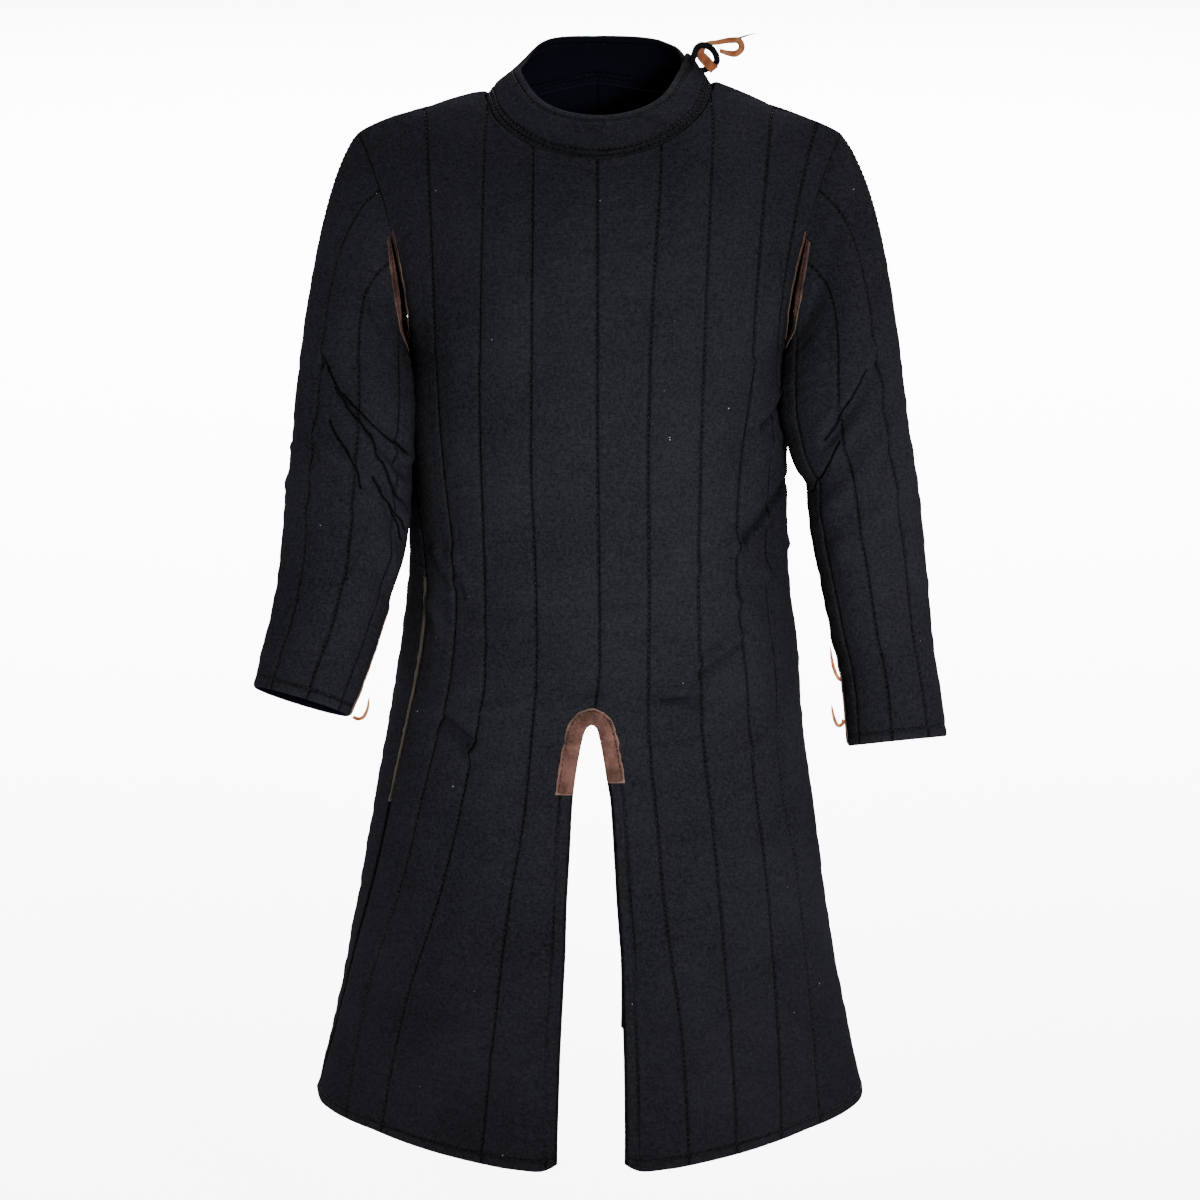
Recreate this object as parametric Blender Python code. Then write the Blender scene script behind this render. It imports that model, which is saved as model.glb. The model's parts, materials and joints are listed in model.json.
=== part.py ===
"""A padded, quilted jacket with leather-bound slits, filled out as it is worn.

Metres, +Z up. The origin is the middle of the neck, level with the ends of the shoulder seams, where
the shoulders carry the garment. The wearer faces -Y, so the wearer's right side is at -X.
"""

import math

import bpy
import numpy as np

RIGHT = -1
LEFT = 1
FRONT = -1
BACK = 1

# Wall of the padded cloth
CROWN = 0.006  # thickness in the middle of a channel
STITCHED = 0.003  # thickness at a row of quilting
EDGE = 0.0035  # thickness at a seam or a finished edge
SEAM_GAP = 0.0003  # between two pieces that are sewn together
CHANNEL_STEPS = 3  # mesh columns to a channel
PUFF_POWER = 0.6  # below 1 makes a channel round up quickly from its stitches

# Leather trim
LEATHER = 0.0014  # thickness
ARMPIT_LIFT = 0.0012  # clearance of each kind of strip over the cloth that it is sewn to
CUFF_LIFT = 0.0010
SLIT_LIFT = 0.0006
SIDE_LIFT = 0.0004
ARMPIT_STRIP = 0.009  # width of the binding on each edge of the armpit opening
SIDE_STRIP = 0.008
SIDE_STRIP_LENGTH = 0.235
SLIT_PATCH_WIDTH = 0.016
SLIT_PATCH_DROP = 0.080  # how far each leg of the patch runs down from the slit's top
CUFF_PATCH_WIDTH = 0.009
COLLAR_LACE = 0.0050  # width of the collar's lace
COLLAR_CORD = 0.0062  # width of the loop that holds it
CUFF_LACE = 0.0030
LACE_STEP = 1.3  # length of a lace's mesh steps, in widths

# Body
HEM = -1.033
UNDERARM = -0.250
SLIT_TOP = -0.597  # front and back slit
SIDE_SLIT_TOP = -0.465
SIDE_SLIT_WIDTH = 0.004
UPPER_ROWS = 12  # mesh rows from the underarm to the shoulder
HEM_CORNER = 0.010  # how much the hem's corners are rounded up

# Neck and shoulders
NECK_CENTRE_Y = -0.005
NECK_FRONT = 0.101
NECK_BACK = 0.083
NECK_DROP = 0.052  # of the neckline at the centre front
NECK_DIP = 0.010  # of the back neckline between its centre and its sides
NECK_SIDE = {RIGHT: 0.110, LEFT: 0.115}  # x of the shoulder seam's end at the neck
NECK_SIDE_HEIGHT = {RIGHT: 0.000, LEFT: 0.009}
SHOULDER_X = {RIGHT: 0.234, LEFT: 0.239}  # and of its end at the sleeve
SHOULDER_HEIGHT = {RIGHT: -0.039, LEFT: -0.040}
SHOULDER_CURVE = {RIGHT: 1.25, LEFT: 1.0}

# Sleeves
SLEEVE_COLUMNS = 2 * UPPER_ROWS
SLEEVE_CHANNELS = 8
SLEEVE_TURN = math.radians(10)  # the seam lies this far behind the inner side
SEWN_FROM = 7  # armhole rows from the underarm up to where the opening ends
CUFF_SLIT = 0.105
CUFF_SLIT_WIDTH = 0.004
SLEEVE_CLEARANCE = 0.0070  # between the sleeve's under edge and the body's at the underarm

# Collar
COLLAR_WALL = 0.005
COLLAR_LAP = 0.0008  # clearance between its two ends where they lap
COLLAR_INSET = 0.0008  # between the collar and the edges of the neckline
COLLAR_START = 60  # turn of the inner end, in degrees from the front round the wearer's left
COLLAR_END = 466  # and of the outer end, a turn further on
COLLAR_BELLY = 0.002  # outward swell of the band at half its height
NECK_STEP = 0.02  # share of a quarter of the neckline over which its direction is read


def table(names, rows):
    """The named columns of a short table as arrays."""
    return {name: np.array(column) for name, column in zip(names.split(), zip(*rows))}


# Sections of the body over the cloth's crowns
BODY = table(
    "height half_width front_depth back_depth centre_x squareness",
    [
        (-1.033, 0.2840, 0.212, 0.200, -0.0075, 1.65),
        (-0.935, 0.2605, 0.190, 0.180, -0.006, 1.85),
        (-0.826, 0.2400, 0.173, 0.163, -0.005, 2.05),
        (-0.720, 0.2235, 0.162, 0.149, -0.003, 2.20),
        (-0.614, 0.2070, 0.152, 0.136, -0.001, 2.25),
        (-0.560, 0.2010, 0.147, 0.128, 0.002, 2.25),
        (-0.510, 0.1935, 0.142, 0.120, 0.002, 2.25),
        (-0.400, 0.1885, 0.134, 0.106, 0.001, 2.25),
        (-0.320, 0.1885, 0.133, 0.107, 0.000, 2.25),
        (-0.250, 0.1870, 0.134, 0.112, 0.000, 2.25),
    ],
)

# Mesh rows, close together round the top of the front and back slits
BODY_ROWS = np.array(
    [
        *(HEM, -1.018, -0.965, -0.900, -0.835, -0.770, -0.710, -0.660, -0.628),
        *(-0.611, -0.602, SLIT_TOP, -0.575, -0.540, -0.502, SIDE_SLIT_TOP),
        *(-0.420, -0.365, -0.305, UNDERARM),
    ]
)

# Half the opening of the front and back slits, and how far their middle lies to the wearer's left
SLIT = table(
    "height half_width shift",
    [
        (HEM, 0.0362, 0.0015),
        (-0.923, 0.0330, 0.0010),
        (-0.880, 0.0310, 0.0010),
        (-0.826, 0.0286, 0.0012),
        (-0.777, 0.0260, -0.0010),
        (-0.726, 0.0230, -0.0020),
        (-0.674, 0.0200, -0.0030),
        (-0.648, 0.0162, -0.0040),
        (-0.622, 0.0118, -0.0045),
        (-0.610, 0.0085, -0.0050),
        (-0.602, 0.0050, -0.0050),
        (SLIT_TOP, 0.0000, -0.0050),
        (-0.540, 0.0000, 0.0000),
    ],
)

# How far the hem hangs below HEM, by distance along the cloth from the slits
HEM_LINE = table(
    "distance lower",
    [
        (0.000, 0.006),
        (0.090, 0.006),
        (0.170, 0.002),
        (0.250, -0.003),
        (0.330, -0.002),
        (0.390, 0.000),
    ],
)

# Quilting rows of the front: distance from the centre front along the cloth
FRONT_RIGHT_ROWS = table(
    "height line_1 line_2 line_3 side_seam",
    [
        (-1.033, 0.113, 0.236, 0.290, 0.372),
        (-0.900, 0.098, 0.203, 0.262, 0.318),
        (-0.780, 0.084, 0.160, 0.211, 0.262),
        (-0.680, 0.069, 0.135, 0.183, 0.232),
        (-0.580, 0.063, 0.117, 0.158, 0.206),
        (-0.470, 0.062, 0.115, 0.149, 0.193),
        (-0.360, 0.065, 0.117, 0.162, 0.225),
        (-0.250, 0.064, 0.118, 0.172, 0.256),
    ],
)
FRONT_LEFT_ROWS = table(
    "height line_1 line_2 line_3 line_4 side_seam",
    [
        (-1.033, 0.103, 0.157, 0.212, 0.268, 0.385),
        (-0.900, 0.090, 0.143, 0.200, 0.250, 0.352),
        (-0.780, 0.071, 0.129, 0.186, 0.232, 0.324),
        (-0.680, 0.060, 0.116, 0.169, 0.207, 0.304),
        (-0.580, 0.049, 0.103, 0.156, 0.198, 0.288),
        (-0.470, 0.049, 0.099, 0.143, 0.184, 0.272),
        (-0.360, 0.049, 0.102, 0.147, 0.192, 0.262),
        (-0.250, 0.051, 0.106, 0.168, 0.212, 0.256),
    ],
)

# Where each mesh column ends at the top: 0 to 1 is the neckline, 1 to 2 the shoulder seam. Every
# third column is a row of quilting.
FRONT_RIGHT_TOPS = np.array(
    [0, 0.127, 0.253, 0.38, 0.54, 0.70, 0.86, 1.0, 1.24, 1.48, 1.653, 1.827, 2.0]
)
FRONT_LEFT_TOPS = np.array(
    [
        *(0, 0.12, 0.24, 0.36, 0.527, 0.693, 0.86, 1.0, 1.24, 1.48),
        *(1.587, 1.693, 1.8, 1.867, 1.933, 2.0),
    ]
)
BACK_TOPS = np.array(
    [
        *(0, 0.167, 0.333, 0.5, 0.62, 0.74, 0.86, 1.0, 1.165, 1.33),
        *(1.443, 1.557, 1.67, 1.78, 1.89, 2.0),
    ]
)

# Directions in which the cloth leaves the underarm row and reaches the neckline or shoulder seam
RISE_NAMES = "top start_x start_out start_z end_x end_in end_z"
RISE = {
    FRONT: table(
        RISE_NAMES,
        [
            (0.00, 0.00, 0.00, 0.20, 0.00, 0.06, 0.160),
            (0.40, 0.00, 0.01, 0.20, 0.00, 0.10, 0.140),
            (0.70, 0.00, 0.02, 0.21, 0.00, 0.15, 0.105),
            (0.86, 0.00, 0.02, 0.22, 0.00, 0.19, 0.095),
            (1.00, 0.00, 0.02, 0.22, 0.00, 0.24, 0.100),
            (1.24, 0.00, 0.02, 0.21, 0.00, 0.21, 0.060),
            (1.50, 0.00, 0.03, 0.20, 0.00, 0.19, 0.030),
            (2.00, -0.04, 0.28, 0.06, 0.08, 0.14, 0.150),
        ],
    ),
    BACK: table(
        RISE_NAMES,
        [
            (0.00, 0.00, 0.00, 0.20, 0.00, 0.06, 0.140),
            (0.50, 0.00, 0.01, 0.20, 0.00, 0.12, 0.080),
            (0.86, 0.00, 0.02, 0.22, 0.00, 0.18, 0.060),
            (1.00, 0.00, 0.02, 0.22, 0.00, 0.22, 0.070),
            (1.50, 0.00, 0.03, 0.20, 0.00, 0.18, 0.020),
            (2.00, -0.04, 0.28, 0.06, 0.08, 0.14, 0.150),
        ],
    ),
}

# Rings of the sleeves, from below the armpit to the cuff
SLEEVE_LEFT = table(
    "centre_x centre_y height half_width half_depth",
    [
        (0.2440, -0.042, -0.306, 0.0600, 0.063),
        (0.2475, -0.045, -0.332, 0.0600, 0.063),
        (0.2575, -0.048, -0.367, 0.0555, 0.062),
        (0.2620, -0.051, -0.404, 0.0562, 0.061),
        (0.2695, -0.057, -0.451, 0.0550, 0.059),
        (0.2765, -0.065, -0.498, 0.0518, 0.056),
        (0.2845, -0.072, -0.545, 0.0487, 0.052),
        (0.2915, -0.087, -0.590, 0.0490, 0.050),
        (0.2955, -0.098, -0.627, 0.0518, 0.050),
    ],
)
SLEEVE_RIGHT = table(
    "centre_x centre_y height half_width half_depth",
    [
        (-0.2395, -0.044, -0.306, 0.0565, 0.063),
        (-0.2415, -0.048, -0.334, 0.0575, 0.063),
        (-0.2440, -0.053, -0.362, 0.0585, 0.063),
        (-0.2470, -0.061, -0.400, 0.0600, 0.063),
        (-0.2505, -0.071, -0.444, 0.0600, 0.061),
        (-0.2600, -0.081, -0.488, 0.0565, 0.058),
        (-0.2730, -0.091, -0.534, 0.0542, 0.055),
        (-0.2890, -0.110, -0.584, 0.0525, 0.053),
    ],
)
SHOULDER_LEAVING = {RIGHT: (0.38, -0.40), LEFT: (0.50, -0.60)}  # outward and up
SLEEVE_CAP_ROWS = 7
SLEEVE_ROWS = np.array(
    [
        *(0.00, 0.05, 0.10, 0.15, 0.20, 0.25, 0.30, 0.36, 0.43, 0.51, 0.59),
        *(0.67, 0.75, 0.83, 0.91, 0.975, 1.00),
    ]
)

# Bunched folds at the elbows: from one place on the sleeve to another, where turn is the angle from
# the inner side round the front, in degrees, and fall is the share of the way down to the cuff
FOLDS_RIGHT = table(
    "turn_from fall_from turn_to fall_to rise half_width",
    [
        (150, 0.02, 20, 0.36, 0.0050, 0.010),
        (155, 0.14, 25, 0.50, 0.0055, 0.010),
        (160, 0.27, 40, 0.62, 0.0045, 0.011),
        (250, 0.20, 330, 0.30, 0.0040, 0.010),
    ],
)
FOLDS_LEFT = table(
    "turn_from fall_from turn_to fall_to rise half_width",
    [
        (150, 0.04, 45, 0.28, 0.0040, 0.010),
        (160, 0.16, 55, 0.40, 0.0045, 0.011),
        (300, 0.10, 230, 0.24, 0.0040, 0.010),
    ],
)

# Top edge of the collar, turn in degrees from the front round the wearer's left
COLLAR_TOP = table(
    "turn x y z",
    [
        (0, 0.003, -0.078, -0.014),
        (22, 0.033, -0.070, -0.011),
        (45, 0.059, -0.051, -0.002),
        (78, 0.079, -0.012, 0.018),
        (105, 0.089, 0.012, 0.037),
        (135, 0.064, 0.048, 0.043),
        (180, 0.003, 0.066, 0.045),
        (225, -0.056, 0.050, 0.041),
        (252, -0.072, 0.020, 0.027),
        (290, -0.074, -0.020, 0.017),
        (315, -0.056, -0.056, -0.001),
        (338, -0.030, -0.070, -0.011),
    ],
)
COLLAR_HEIGHTS = np.array([0, 0.16, 0.5, 0.84, 1])

# Routes of the laces and of the loop that holds the collar's
COLLAR_LOOP_ROUTE = [
    (0.0904, 0.0000, 0.0279),
    (0.0925, -0.0007, 0.0302),
    (0.0944, 0.0013, 0.0350),
    (0.0962, 0.0045, 0.0395),
    (0.1005, 0.0065, 0.0428),
    (0.1085, 0.0078, 0.0412),
    (0.1145, 0.0062, 0.0352),
    (0.1165, 0.0085, 0.0285),
    (0.1135, 0.0150, 0.0225),
    (0.1075, 0.0175, 0.0188),
    (0.1022, 0.0155, 0.0170),
    (0.1012, 0.0111, 0.0167),
]
COLLAR_LACE_ROUTE = [
    (0.1140, 0.006, 0.0190),
    (0.1065, 0.010, 0.0265),
    (0.1010, 0.013, 0.0340),
    (0.1050, 0.014, 0.0420),
    (0.1180, 0.013, 0.0450),
    (0.1300, 0.012, 0.0470),
    (0.1380, 0.011, 0.0465),
    (0.1405, 0.010, 0.0400),
    (0.1350, 0.009, 0.0345),
    (0.1270, 0.009, 0.0350),
    (0.1190, 0.009, 0.0375),
]
CUFF_LACE_RIGHT_ROUTE = [
    (-0.2393, -0.1047, -0.6020),
    (-0.2355, -0.1044, -0.6040),
    (-0.2310, -0.1065, -0.6030),
    (-0.2268, -0.1095, -0.5975),
    (-0.2240, -0.1120, -0.5890),
    (-0.2230, -0.1130, -0.5800),
]
CUFF_LACE_LEFT_UPPER_ROUTE = [
    (0.2376, -0.0833, -0.5692),
    (0.2368, -0.0868, -0.5670),
    (0.2340, -0.0915, -0.5605),
    (0.2312, -0.0950, -0.5515),
    (0.2295, -0.0970, -0.5420),
    (0.2285, -0.0972, -0.5330),
]
CUFF_LACE_LEFT_LOWER_ROUTE = [
    (0.2424, -0.0965, -0.6077),
    (0.2418, -0.0990, -0.6096),
    (0.2393, -0.1020, -0.6115),
    (0.2365, -0.1045, -0.6108),
    (0.2343, -0.1058, -0.6075),
    (0.2325, -0.1063, -0.6025),
    (0.2310, -0.1060, -0.5960),
    (0.2299, -0.1050, -0.5899),
]

CLOTH = (0.0125, 0.0130, 0.0165)
COLLAR_CLOTH = (0.0120, 0.0125, 0.0155)
SUEDE = (0.150, 0.062, 0.045)
LACE_LEATHER = (0.420, 0.160, 0.075)


def hermite(start, start_slope, end, end_slope, t):
    """The cubic curve that leaves start and reaches end with the given slopes."""
    return (
        (2 * t**3 - 3 * t**2 + 1) * start
        + (t**3 - 2 * t**2 + t) * start_slope
        + (3 * t**2 - 2 * t**3) * end
        + (t**3 - t**2) * end_slope
    )


def read(rows, key, column, at):
    """A column of a table at any value of its key column, on a smooth curve through the rows."""
    x = rows[key]
    y = rows[column]
    if x[0] > x[-1]:
        x = x[::-1]
        y = y[::-1]
    slope = np.gradient(y, x)
    i = np.clip(np.searchsorted(x, at) - 1, 0, len(x) - 2)
    step = x[i + 1] - x[i]
    t = np.clip((at - x[i]) / step, 0, 1)
    return hermite(y[i], slope[i] * step, y[i + 1], slope[i + 1] * step, t)


def unit(vectors):
    """The vectors at length one."""
    return vectors / np.maximum(np.linalg.norm(vectors, axis=-1, keepdims=True), 1e-12)


def between(stops):
    """The stops with CHANNEL_STEPS columns to each space between them."""
    steps = np.arange((len(stops) - 1) * CHANNEL_STEPS + 1) / CHANNEL_STEPS
    return np.interp(steps, np.arange(len(stops)), stops)


def puffed(columns):
    """Thickness across the channels: thin at each row of stitches, full between two."""
    share = np.arange(columns) % CHANNEL_STEPS / CHANNEL_STEPS
    return STITCHED + (CROWN - STITCHED) * np.sin(math.pi * share) ** PUFF_POWER


def section(height, side):
    """One half of the body's outline at a height, from just past the centre front to the centre back.

    It is a superellipse: x is half_width * sin(a)^(2/n) and y is depth * cos(a)^(2/n), with the
    front's depth for the first quarter turn and the back's for the second. Lengths count from the
    centre front.
    """
    power = 2 / read(BODY, "height", "squareness", height)
    turn = np.concatenate([np.linspace(-0.4, 0, 24)[:-1], np.linspace(0, math.pi, 241)])
    front = read(BODY, "height", "front_depth", height)
    back = read(BODY, "height", "back_depth", height)
    depth = np.where(turn < math.pi / 2, front, back)
    sine = np.sin(turn)
    sine[-1] = 0
    wide = read(BODY, "height", "half_width", height) * np.sign(sine) * np.abs(sine) ** power
    x = read(BODY, "height", "centre_x", height) + side * wide
    y = -depth * np.sign(np.cos(turn)) * np.abs(np.cos(turn)) ** power
    length = np.concatenate([[0], np.cumsum(np.hypot(np.diff(x), np.diff(y)))])
    return x, y, length - length[turn == 0]


def on_body(height, side, distance):
    """The points at these distances from the centre front, along the cloth at one height."""
    x, y, length = section(height, side)
    return np.stack(
        [
            np.interp(distance, length, x),
            np.interp(distance, length, y),
            np.full_like(distance, height),
        ],
        axis=-1,
    )


def top_edge(top, side, face):
    """Points of the neckline (top from 0 to 1) and of the shoulder seam (1 to 2)."""
    turn = np.minimum(top, 1) * math.pi / 2
    along = np.maximum(top - 1, 0)
    x = NECK_SIDE[side] * np.sin(turn) + (SHOULDER_X[side] - NECK_SIDE[side]) * along
    reach = NECK_FRONT if face == FRONT else NECK_BACK
    y = NECK_CENTRE_Y * (1 - along) + face * reach * np.cos(turn).clip(0)
    lift = NECK_SIDE_HEIGHT[side] * np.sin(turn) ** 2
    if face == FRONT:
        drop = NECK_DROP * np.cos(turn).clip(0) ** 1.15
    else:
        drop = NECK_DIP * np.sin(2 * turn).clip(0)
    fall = NECK_SIDE_HEIGHT[side] - SHOULDER_HEIGHT[side]
    z = lift - drop - fall * along ** SHOULDER_CURVE[side]
    return np.stack([side * x, y, z], axis=-1)


def rise(top, side, face):
    """The slopes at both ends of the cloth's way from the underarm row to the top edge."""
    start_x, start_out, start_z, end_x, end_in, end_z = (
        np.interp(top, RISE[face]["top"], RISE[face][name]) for name in RISE_NAMES.split()[1:]
    )
    start = np.stack([side * start_x, face * start_out, start_z], axis=-1)
    end = np.stack([side * end_x, -face * end_in, end_z], axis=-1)
    return start, end


def slit_edge(height, side):
    """Distance from the centre line to one edge of the front or back slit, or to its line above."""
    half = np.interp(height, SLIT["height"], SLIT["half_width"])
    return half + side * np.interp(height, SLIT["height"], SLIT["shift"])


def side_gap(height):
    """How far each panel's edge stands back from the side seam, in the slit below it."""
    return SIDE_SLIT_WIDTH / 2 if height < SIDE_SLIT_TOP - 0.001 else 0.0


def front_stops(height, side):
    """Distances of the quilting rows from the centre front at a height, edges included."""
    rows = FRONT_RIGHT_ROWS if side == RIGHT else FRONT_LEFT_ROWS
    names = [name for name in rows if name.startswith("line")]
    lines = [read(rows, "height", name, height) for name in names]
    seam = read(rows, "height", "side_seam", height)
    return np.array([slit_edge(height, side), *lines, seam - side_gap(height)])


def back_stops(height, side):
    """Distances of the back's quilting rows, evenly spread from its centre to the side seam."""
    whole = section(height, side)[2][-1]
    rows = FRONT_RIGHT_ROWS if side == RIGHT else FRONT_LEFT_ROWS
    seam = read(rows, "height", "side_seam", height) + side_gap(height)
    even = np.linspace(whole, seam, len(BACK_TOPS) // CHANNEL_STEPS + 1)
    even[0] = whole - max(0, np.interp(height, SLIT["height"], SLIT["half_width"]))
    return even


def half_panel(side, face):
    """Points and thickness of one half of the front or back, from the hem to the top edge."""
    stops = front_stops if face == FRONT else back_stops
    top = BACK_TOPS
    if face == FRONT:
        top = FRONT_RIGHT_TOPS if side == RIGHT else FRONT_LEFT_TOPS
    lower = [on_body(height, side, between(stops(height, side))) for height in BODY_ROWS]
    start_slope, end_slope = rise(top, side, face)
    upper = [
        hermite(lower[-1], start_slope, top_edge(top, side, face), end_slope, row / UPPER_ROWS)
        for row in range(1, UPPER_ROWS + 1)
    ]
    points = np.array(lower + upper)
    from_slit = between(stops(HEM, side))
    if face == BACK:
        from_slit = section(HEM, side)[2][-1] - from_slit
    points[0, :, 2] -= np.interp(from_slit, HEM_LINE["distance"], HEM_LINE["lower"])
    points[0, 0, 2] += HEM_CORNER
    points[0, -1, 2] += HEM_CORNER
    thick = np.tile(puffed(points.shape[1]), (len(points), 1))
    if top is not FRONT_RIGHT_TOPS:
        # the outermost row of quilting fades out above the underarm
        fade = np.linspace(0, 1, UPPER_ROWS + 1)
        thick[-len(fade) :, -1 - CHANNEL_STEPS] += (CROWN - STITCHED) * fade
    return points, thick


def fold_heights(folds, turn, fall, length):
    """How far the folds lift the sleeve at each place: soft ridges along straight lines."""
    lifted = np.zeros(np.broadcast(turn, fall).shape)
    round_scale = 0.058
    place = np.stack(np.broadcast_arrays(turn * round_scale, fall * length), axis=-1)
    for k in range(len(folds["rise"])):
        a = np.array([math.radians(folds["turn_from"][k]) * round_scale, folds["fall_from"][k] * length])
        b = np.array([math.radians(folds["turn_to"][k]) * round_scale, folds["fall_to"][k] * length])
        along = ((place - a) @ (b - a)) / ((b - a) @ (b - a))
        nearest = a + np.clip(along, 0, 1)[..., None] * (b - a)
        away = np.linalg.norm(place - nearest, axis=-1) / folds["half_width"][k]
        lifted += folds["rise"][k] * np.exp(-(away**2))
    return lifted


def sleeve_rings(rows, folds, side, shares):
    """Rings of the sleeve at these shares of the way from below the armpit to the cuff."""
    centres = np.stack([rows["centre_x"], rows["centre_y"], rows["height"]], axis=-1)
    run = np.concatenate([[0], np.cumsum(np.linalg.norm(np.diff(centres, axis=0), axis=1))])
    keyed = dict(rows, run=run)
    at = shares * run[-1]
    names = ("centre_x", "centre_y", "height")
    middle = np.stack([read(keyed, "run", name, at) for name in names], axis=-1)
    wide = read(keyed, "run", "half_width", at)
    deep = read(keyed, "run", "half_depth", at)
    axis = unit(np.gradient(middle, at, axis=0))
    outward = unit(np.array([side, 0, 0]) - axis * (axis @ np.array([side, 0, 0]))[:, None])
    backward = unit(np.cross(outward, axis) * side)
    turn = np.linspace(0, 2 * math.pi, SLEEVE_COLUMNS + 1) - SLEEVE_TURN
    turns = np.tile(turn, (len(at), 1))
    slit_share = np.clip((shares - (1 - CUFF_SLIT / run[-1])) * 1e6, 0, 1)
    opening = slit_share * CUFF_SLIT_WIDTH / 2 / wide
    turns[:, 0] += opening
    turns[:, -1] -= opening
    lifted = fold_heights(folds, turns % (2 * math.pi), shares[:, None], run[-1])
    return (
        middle[:, None]
        - outward[:, None] * ((wide[:, None] + lifted) * np.cos(turns))[..., None]
        - backward[:, None] * ((deep[:, None] + lifted) * np.sin(turns))[..., None]
    ), axis


def sleeve_grid(side, front_edge, back_edge):
    """Points and thickness of a sleeve, from the armhole to the cuff.

    The cap runs from the armhole to the first ring below the armpit on cubic curves, each leaving
    the armhole in a direction mixed from the ones below.
    """
    rows = SLEEVE_RIGHT if side == RIGHT else SLEEVE_LEFT
    folds = FOLDS_RIGHT if side == RIGHT else FOLDS_LEFT
    shares = np.sort(np.append(SLEEVE_ROWS, 1 - CUFF_SLIT / sleeve_length(rows)))
    rings, axis = sleeve_rings(rows, folds, side, shares)
    armhole = np.concatenate([front_edge, back_edge[-2::-1]])
    around = np.linspace(0, 2 * math.pi, SLEEVE_COLUMNS + 1)
    low = np.abs(((np.arange(SLEEVE_COLUMNS + 1) + UPPER_ROWS) % SLEEVE_COLUMNS) - UPPER_ROWS)
    parted = np.cos(np.clip(low / SEWN_FROM, 0, 1) * math.pi / 2) ** 0.7
    parted[low >= SEWN_FROM] = 0
    armhole = armhole + parted[:, None] * np.array([side * SLEEVE_CLEARANCE, 0, -0.004])
    under = np.array([0.0, 0, -1])
    shoulder = np.array([side * SHOULDER_LEAVING[side][0], 0, SHOULDER_LEAVING[side][1]])
    beside = np.array([side * 0.85, 0.25, -0.50])
    front_and_back = np.tile(beside, (len(around), 1)) * np.stack(
        [np.ones_like(around), -np.sign(np.sin(around)), np.ones_like(around)], axis=-1
    )
    c = np.cos(around)[:, None]
    leaving = under * c.clip(0) ** 2 + shoulder * (-c).clip(0) ** 2 + front_and_back * (1 - c**2)
    far = np.linalg.norm(rings[0] - armhole, axis=1)[:, None]
    cap = [
        hermite(armhole, leaving * far, rings[0], axis[0] * far, row / SLEEVE_CAP_ROWS)
        for row in range(SLEEVE_CAP_ROWS)
    ]
    points = np.concatenate([np.array(cap), rings])
    steps = SLEEVE_COLUMNS // SLEEVE_CHANNELS
    share = np.arange(SLEEVE_COLUMNS + 1) % steps / steps
    across = STITCHED + (CROWN - STITCHED) * np.sin(math.pi * share) ** PUFF_POWER
    return points, np.tile(across, (len(points), 1))


def sleeve_length(rows):
    """Length of the sleeve's axis from below the armpit to the cuff."""
    centres = np.stack([rows["centre_x"], rows["centre_y"], rows["height"]], axis=-1)
    return np.linalg.norm(np.diff(centres, axis=0), axis=1).sum()


def quads(rows, columns, offset, flip):
    """Faces of a grid, four corners each."""
    i = np.arange(rows * columns).reshape(rows, columns) + offset
    found = np.stack([i[:-1, :-1], i[:-1, 1:], i[1:, 1:], i[1:, :-1]], axis=-1).reshape(-1, 4)
    return found[:, ::-1] if flip else found


def weld(grids):
    """One surface from grids of (points, thickness, flip), joined where their points meet."""
    points = np.concatenate([grid[0].reshape(-1, 3) for grid in grids])
    thick = np.concatenate([grid[1].reshape(-1) for grid in grids])
    faces = []
    offset = 0
    for grid, _, flip in grids:
        faces.append(quads(grid.shape[0], grid.shape[1], offset, flip))
        offset += grid.shape[0] * grid.shape[1]
    faces = np.concatenate(faces)
    _, first, same = np.unique(np.round(points, 6), axis=0, return_index=True, return_inverse=True)
    return {"points": points[first], "thick": thick[first], "faces": same.reshape(-1)[faces]}


def set_normals(surfaces):
    """Gives each point of the surfaces a normal, shared where two surfaces are sewn together."""
    points = np.concatenate([s["points"] for s in surfaces])
    totals = np.zeros_like(points)
    offset = 0
    for s in surfaces:
        a, b, c, d = (s["points"][s["faces"][:, k]] for k in range(4))
        face_normal = np.cross(c - a, d - b)
        for k in range(4):
            np.add.at(totals, s["faces"][:, k] + offset, face_normal)
        offset += len(s["points"])
    _, same = np.unique(np.round(points, 5), axis=0, return_inverse=True)
    same = same.reshape(-1)
    summed = np.zeros((same.max() + 1, 3))
    np.add.at(summed, same, totals)
    normals = unit(summed[same])
    offset = 0
    for s in surfaces:
        s["normals"] = normals[offset : offset + len(s["points"])]
        offset += len(s["points"])


def square_to_shoulder(surface):
    """Turns the normals along the shoulder seams square to them, alike on the front and back."""
    points = surface["points"]
    for side in (RIGHT, LEFT):
        long = SHOULDER_X[side] - NECK_SIDE[side]
        drop = NECK_SIDE_HEIGHT[side] - SHOULDER_HEIGHT[side]
        along = ((side * points[:, 0] - NECK_SIDE[side]) / long).clip(0)
        on_seam = NECK_SIDE_HEIGHT[side] - drop * along ** SHOULDER_CURVE[side]
        near = (along < 0.99) & (np.abs(points[:, 2] - on_seam) < 1e-5)
        near &= side * points[:, 0] > NECK_SIDE[side] - 1e-5
        fall = drop / long * SHOULDER_CURVE[side] * along ** (SHOULDER_CURVE[side] - 1)
        square = unit(np.stack([side * fall, 0 * fall, np.ones_like(fall)], axis=-1))
        surface["normals"][near] = square[near]


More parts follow.
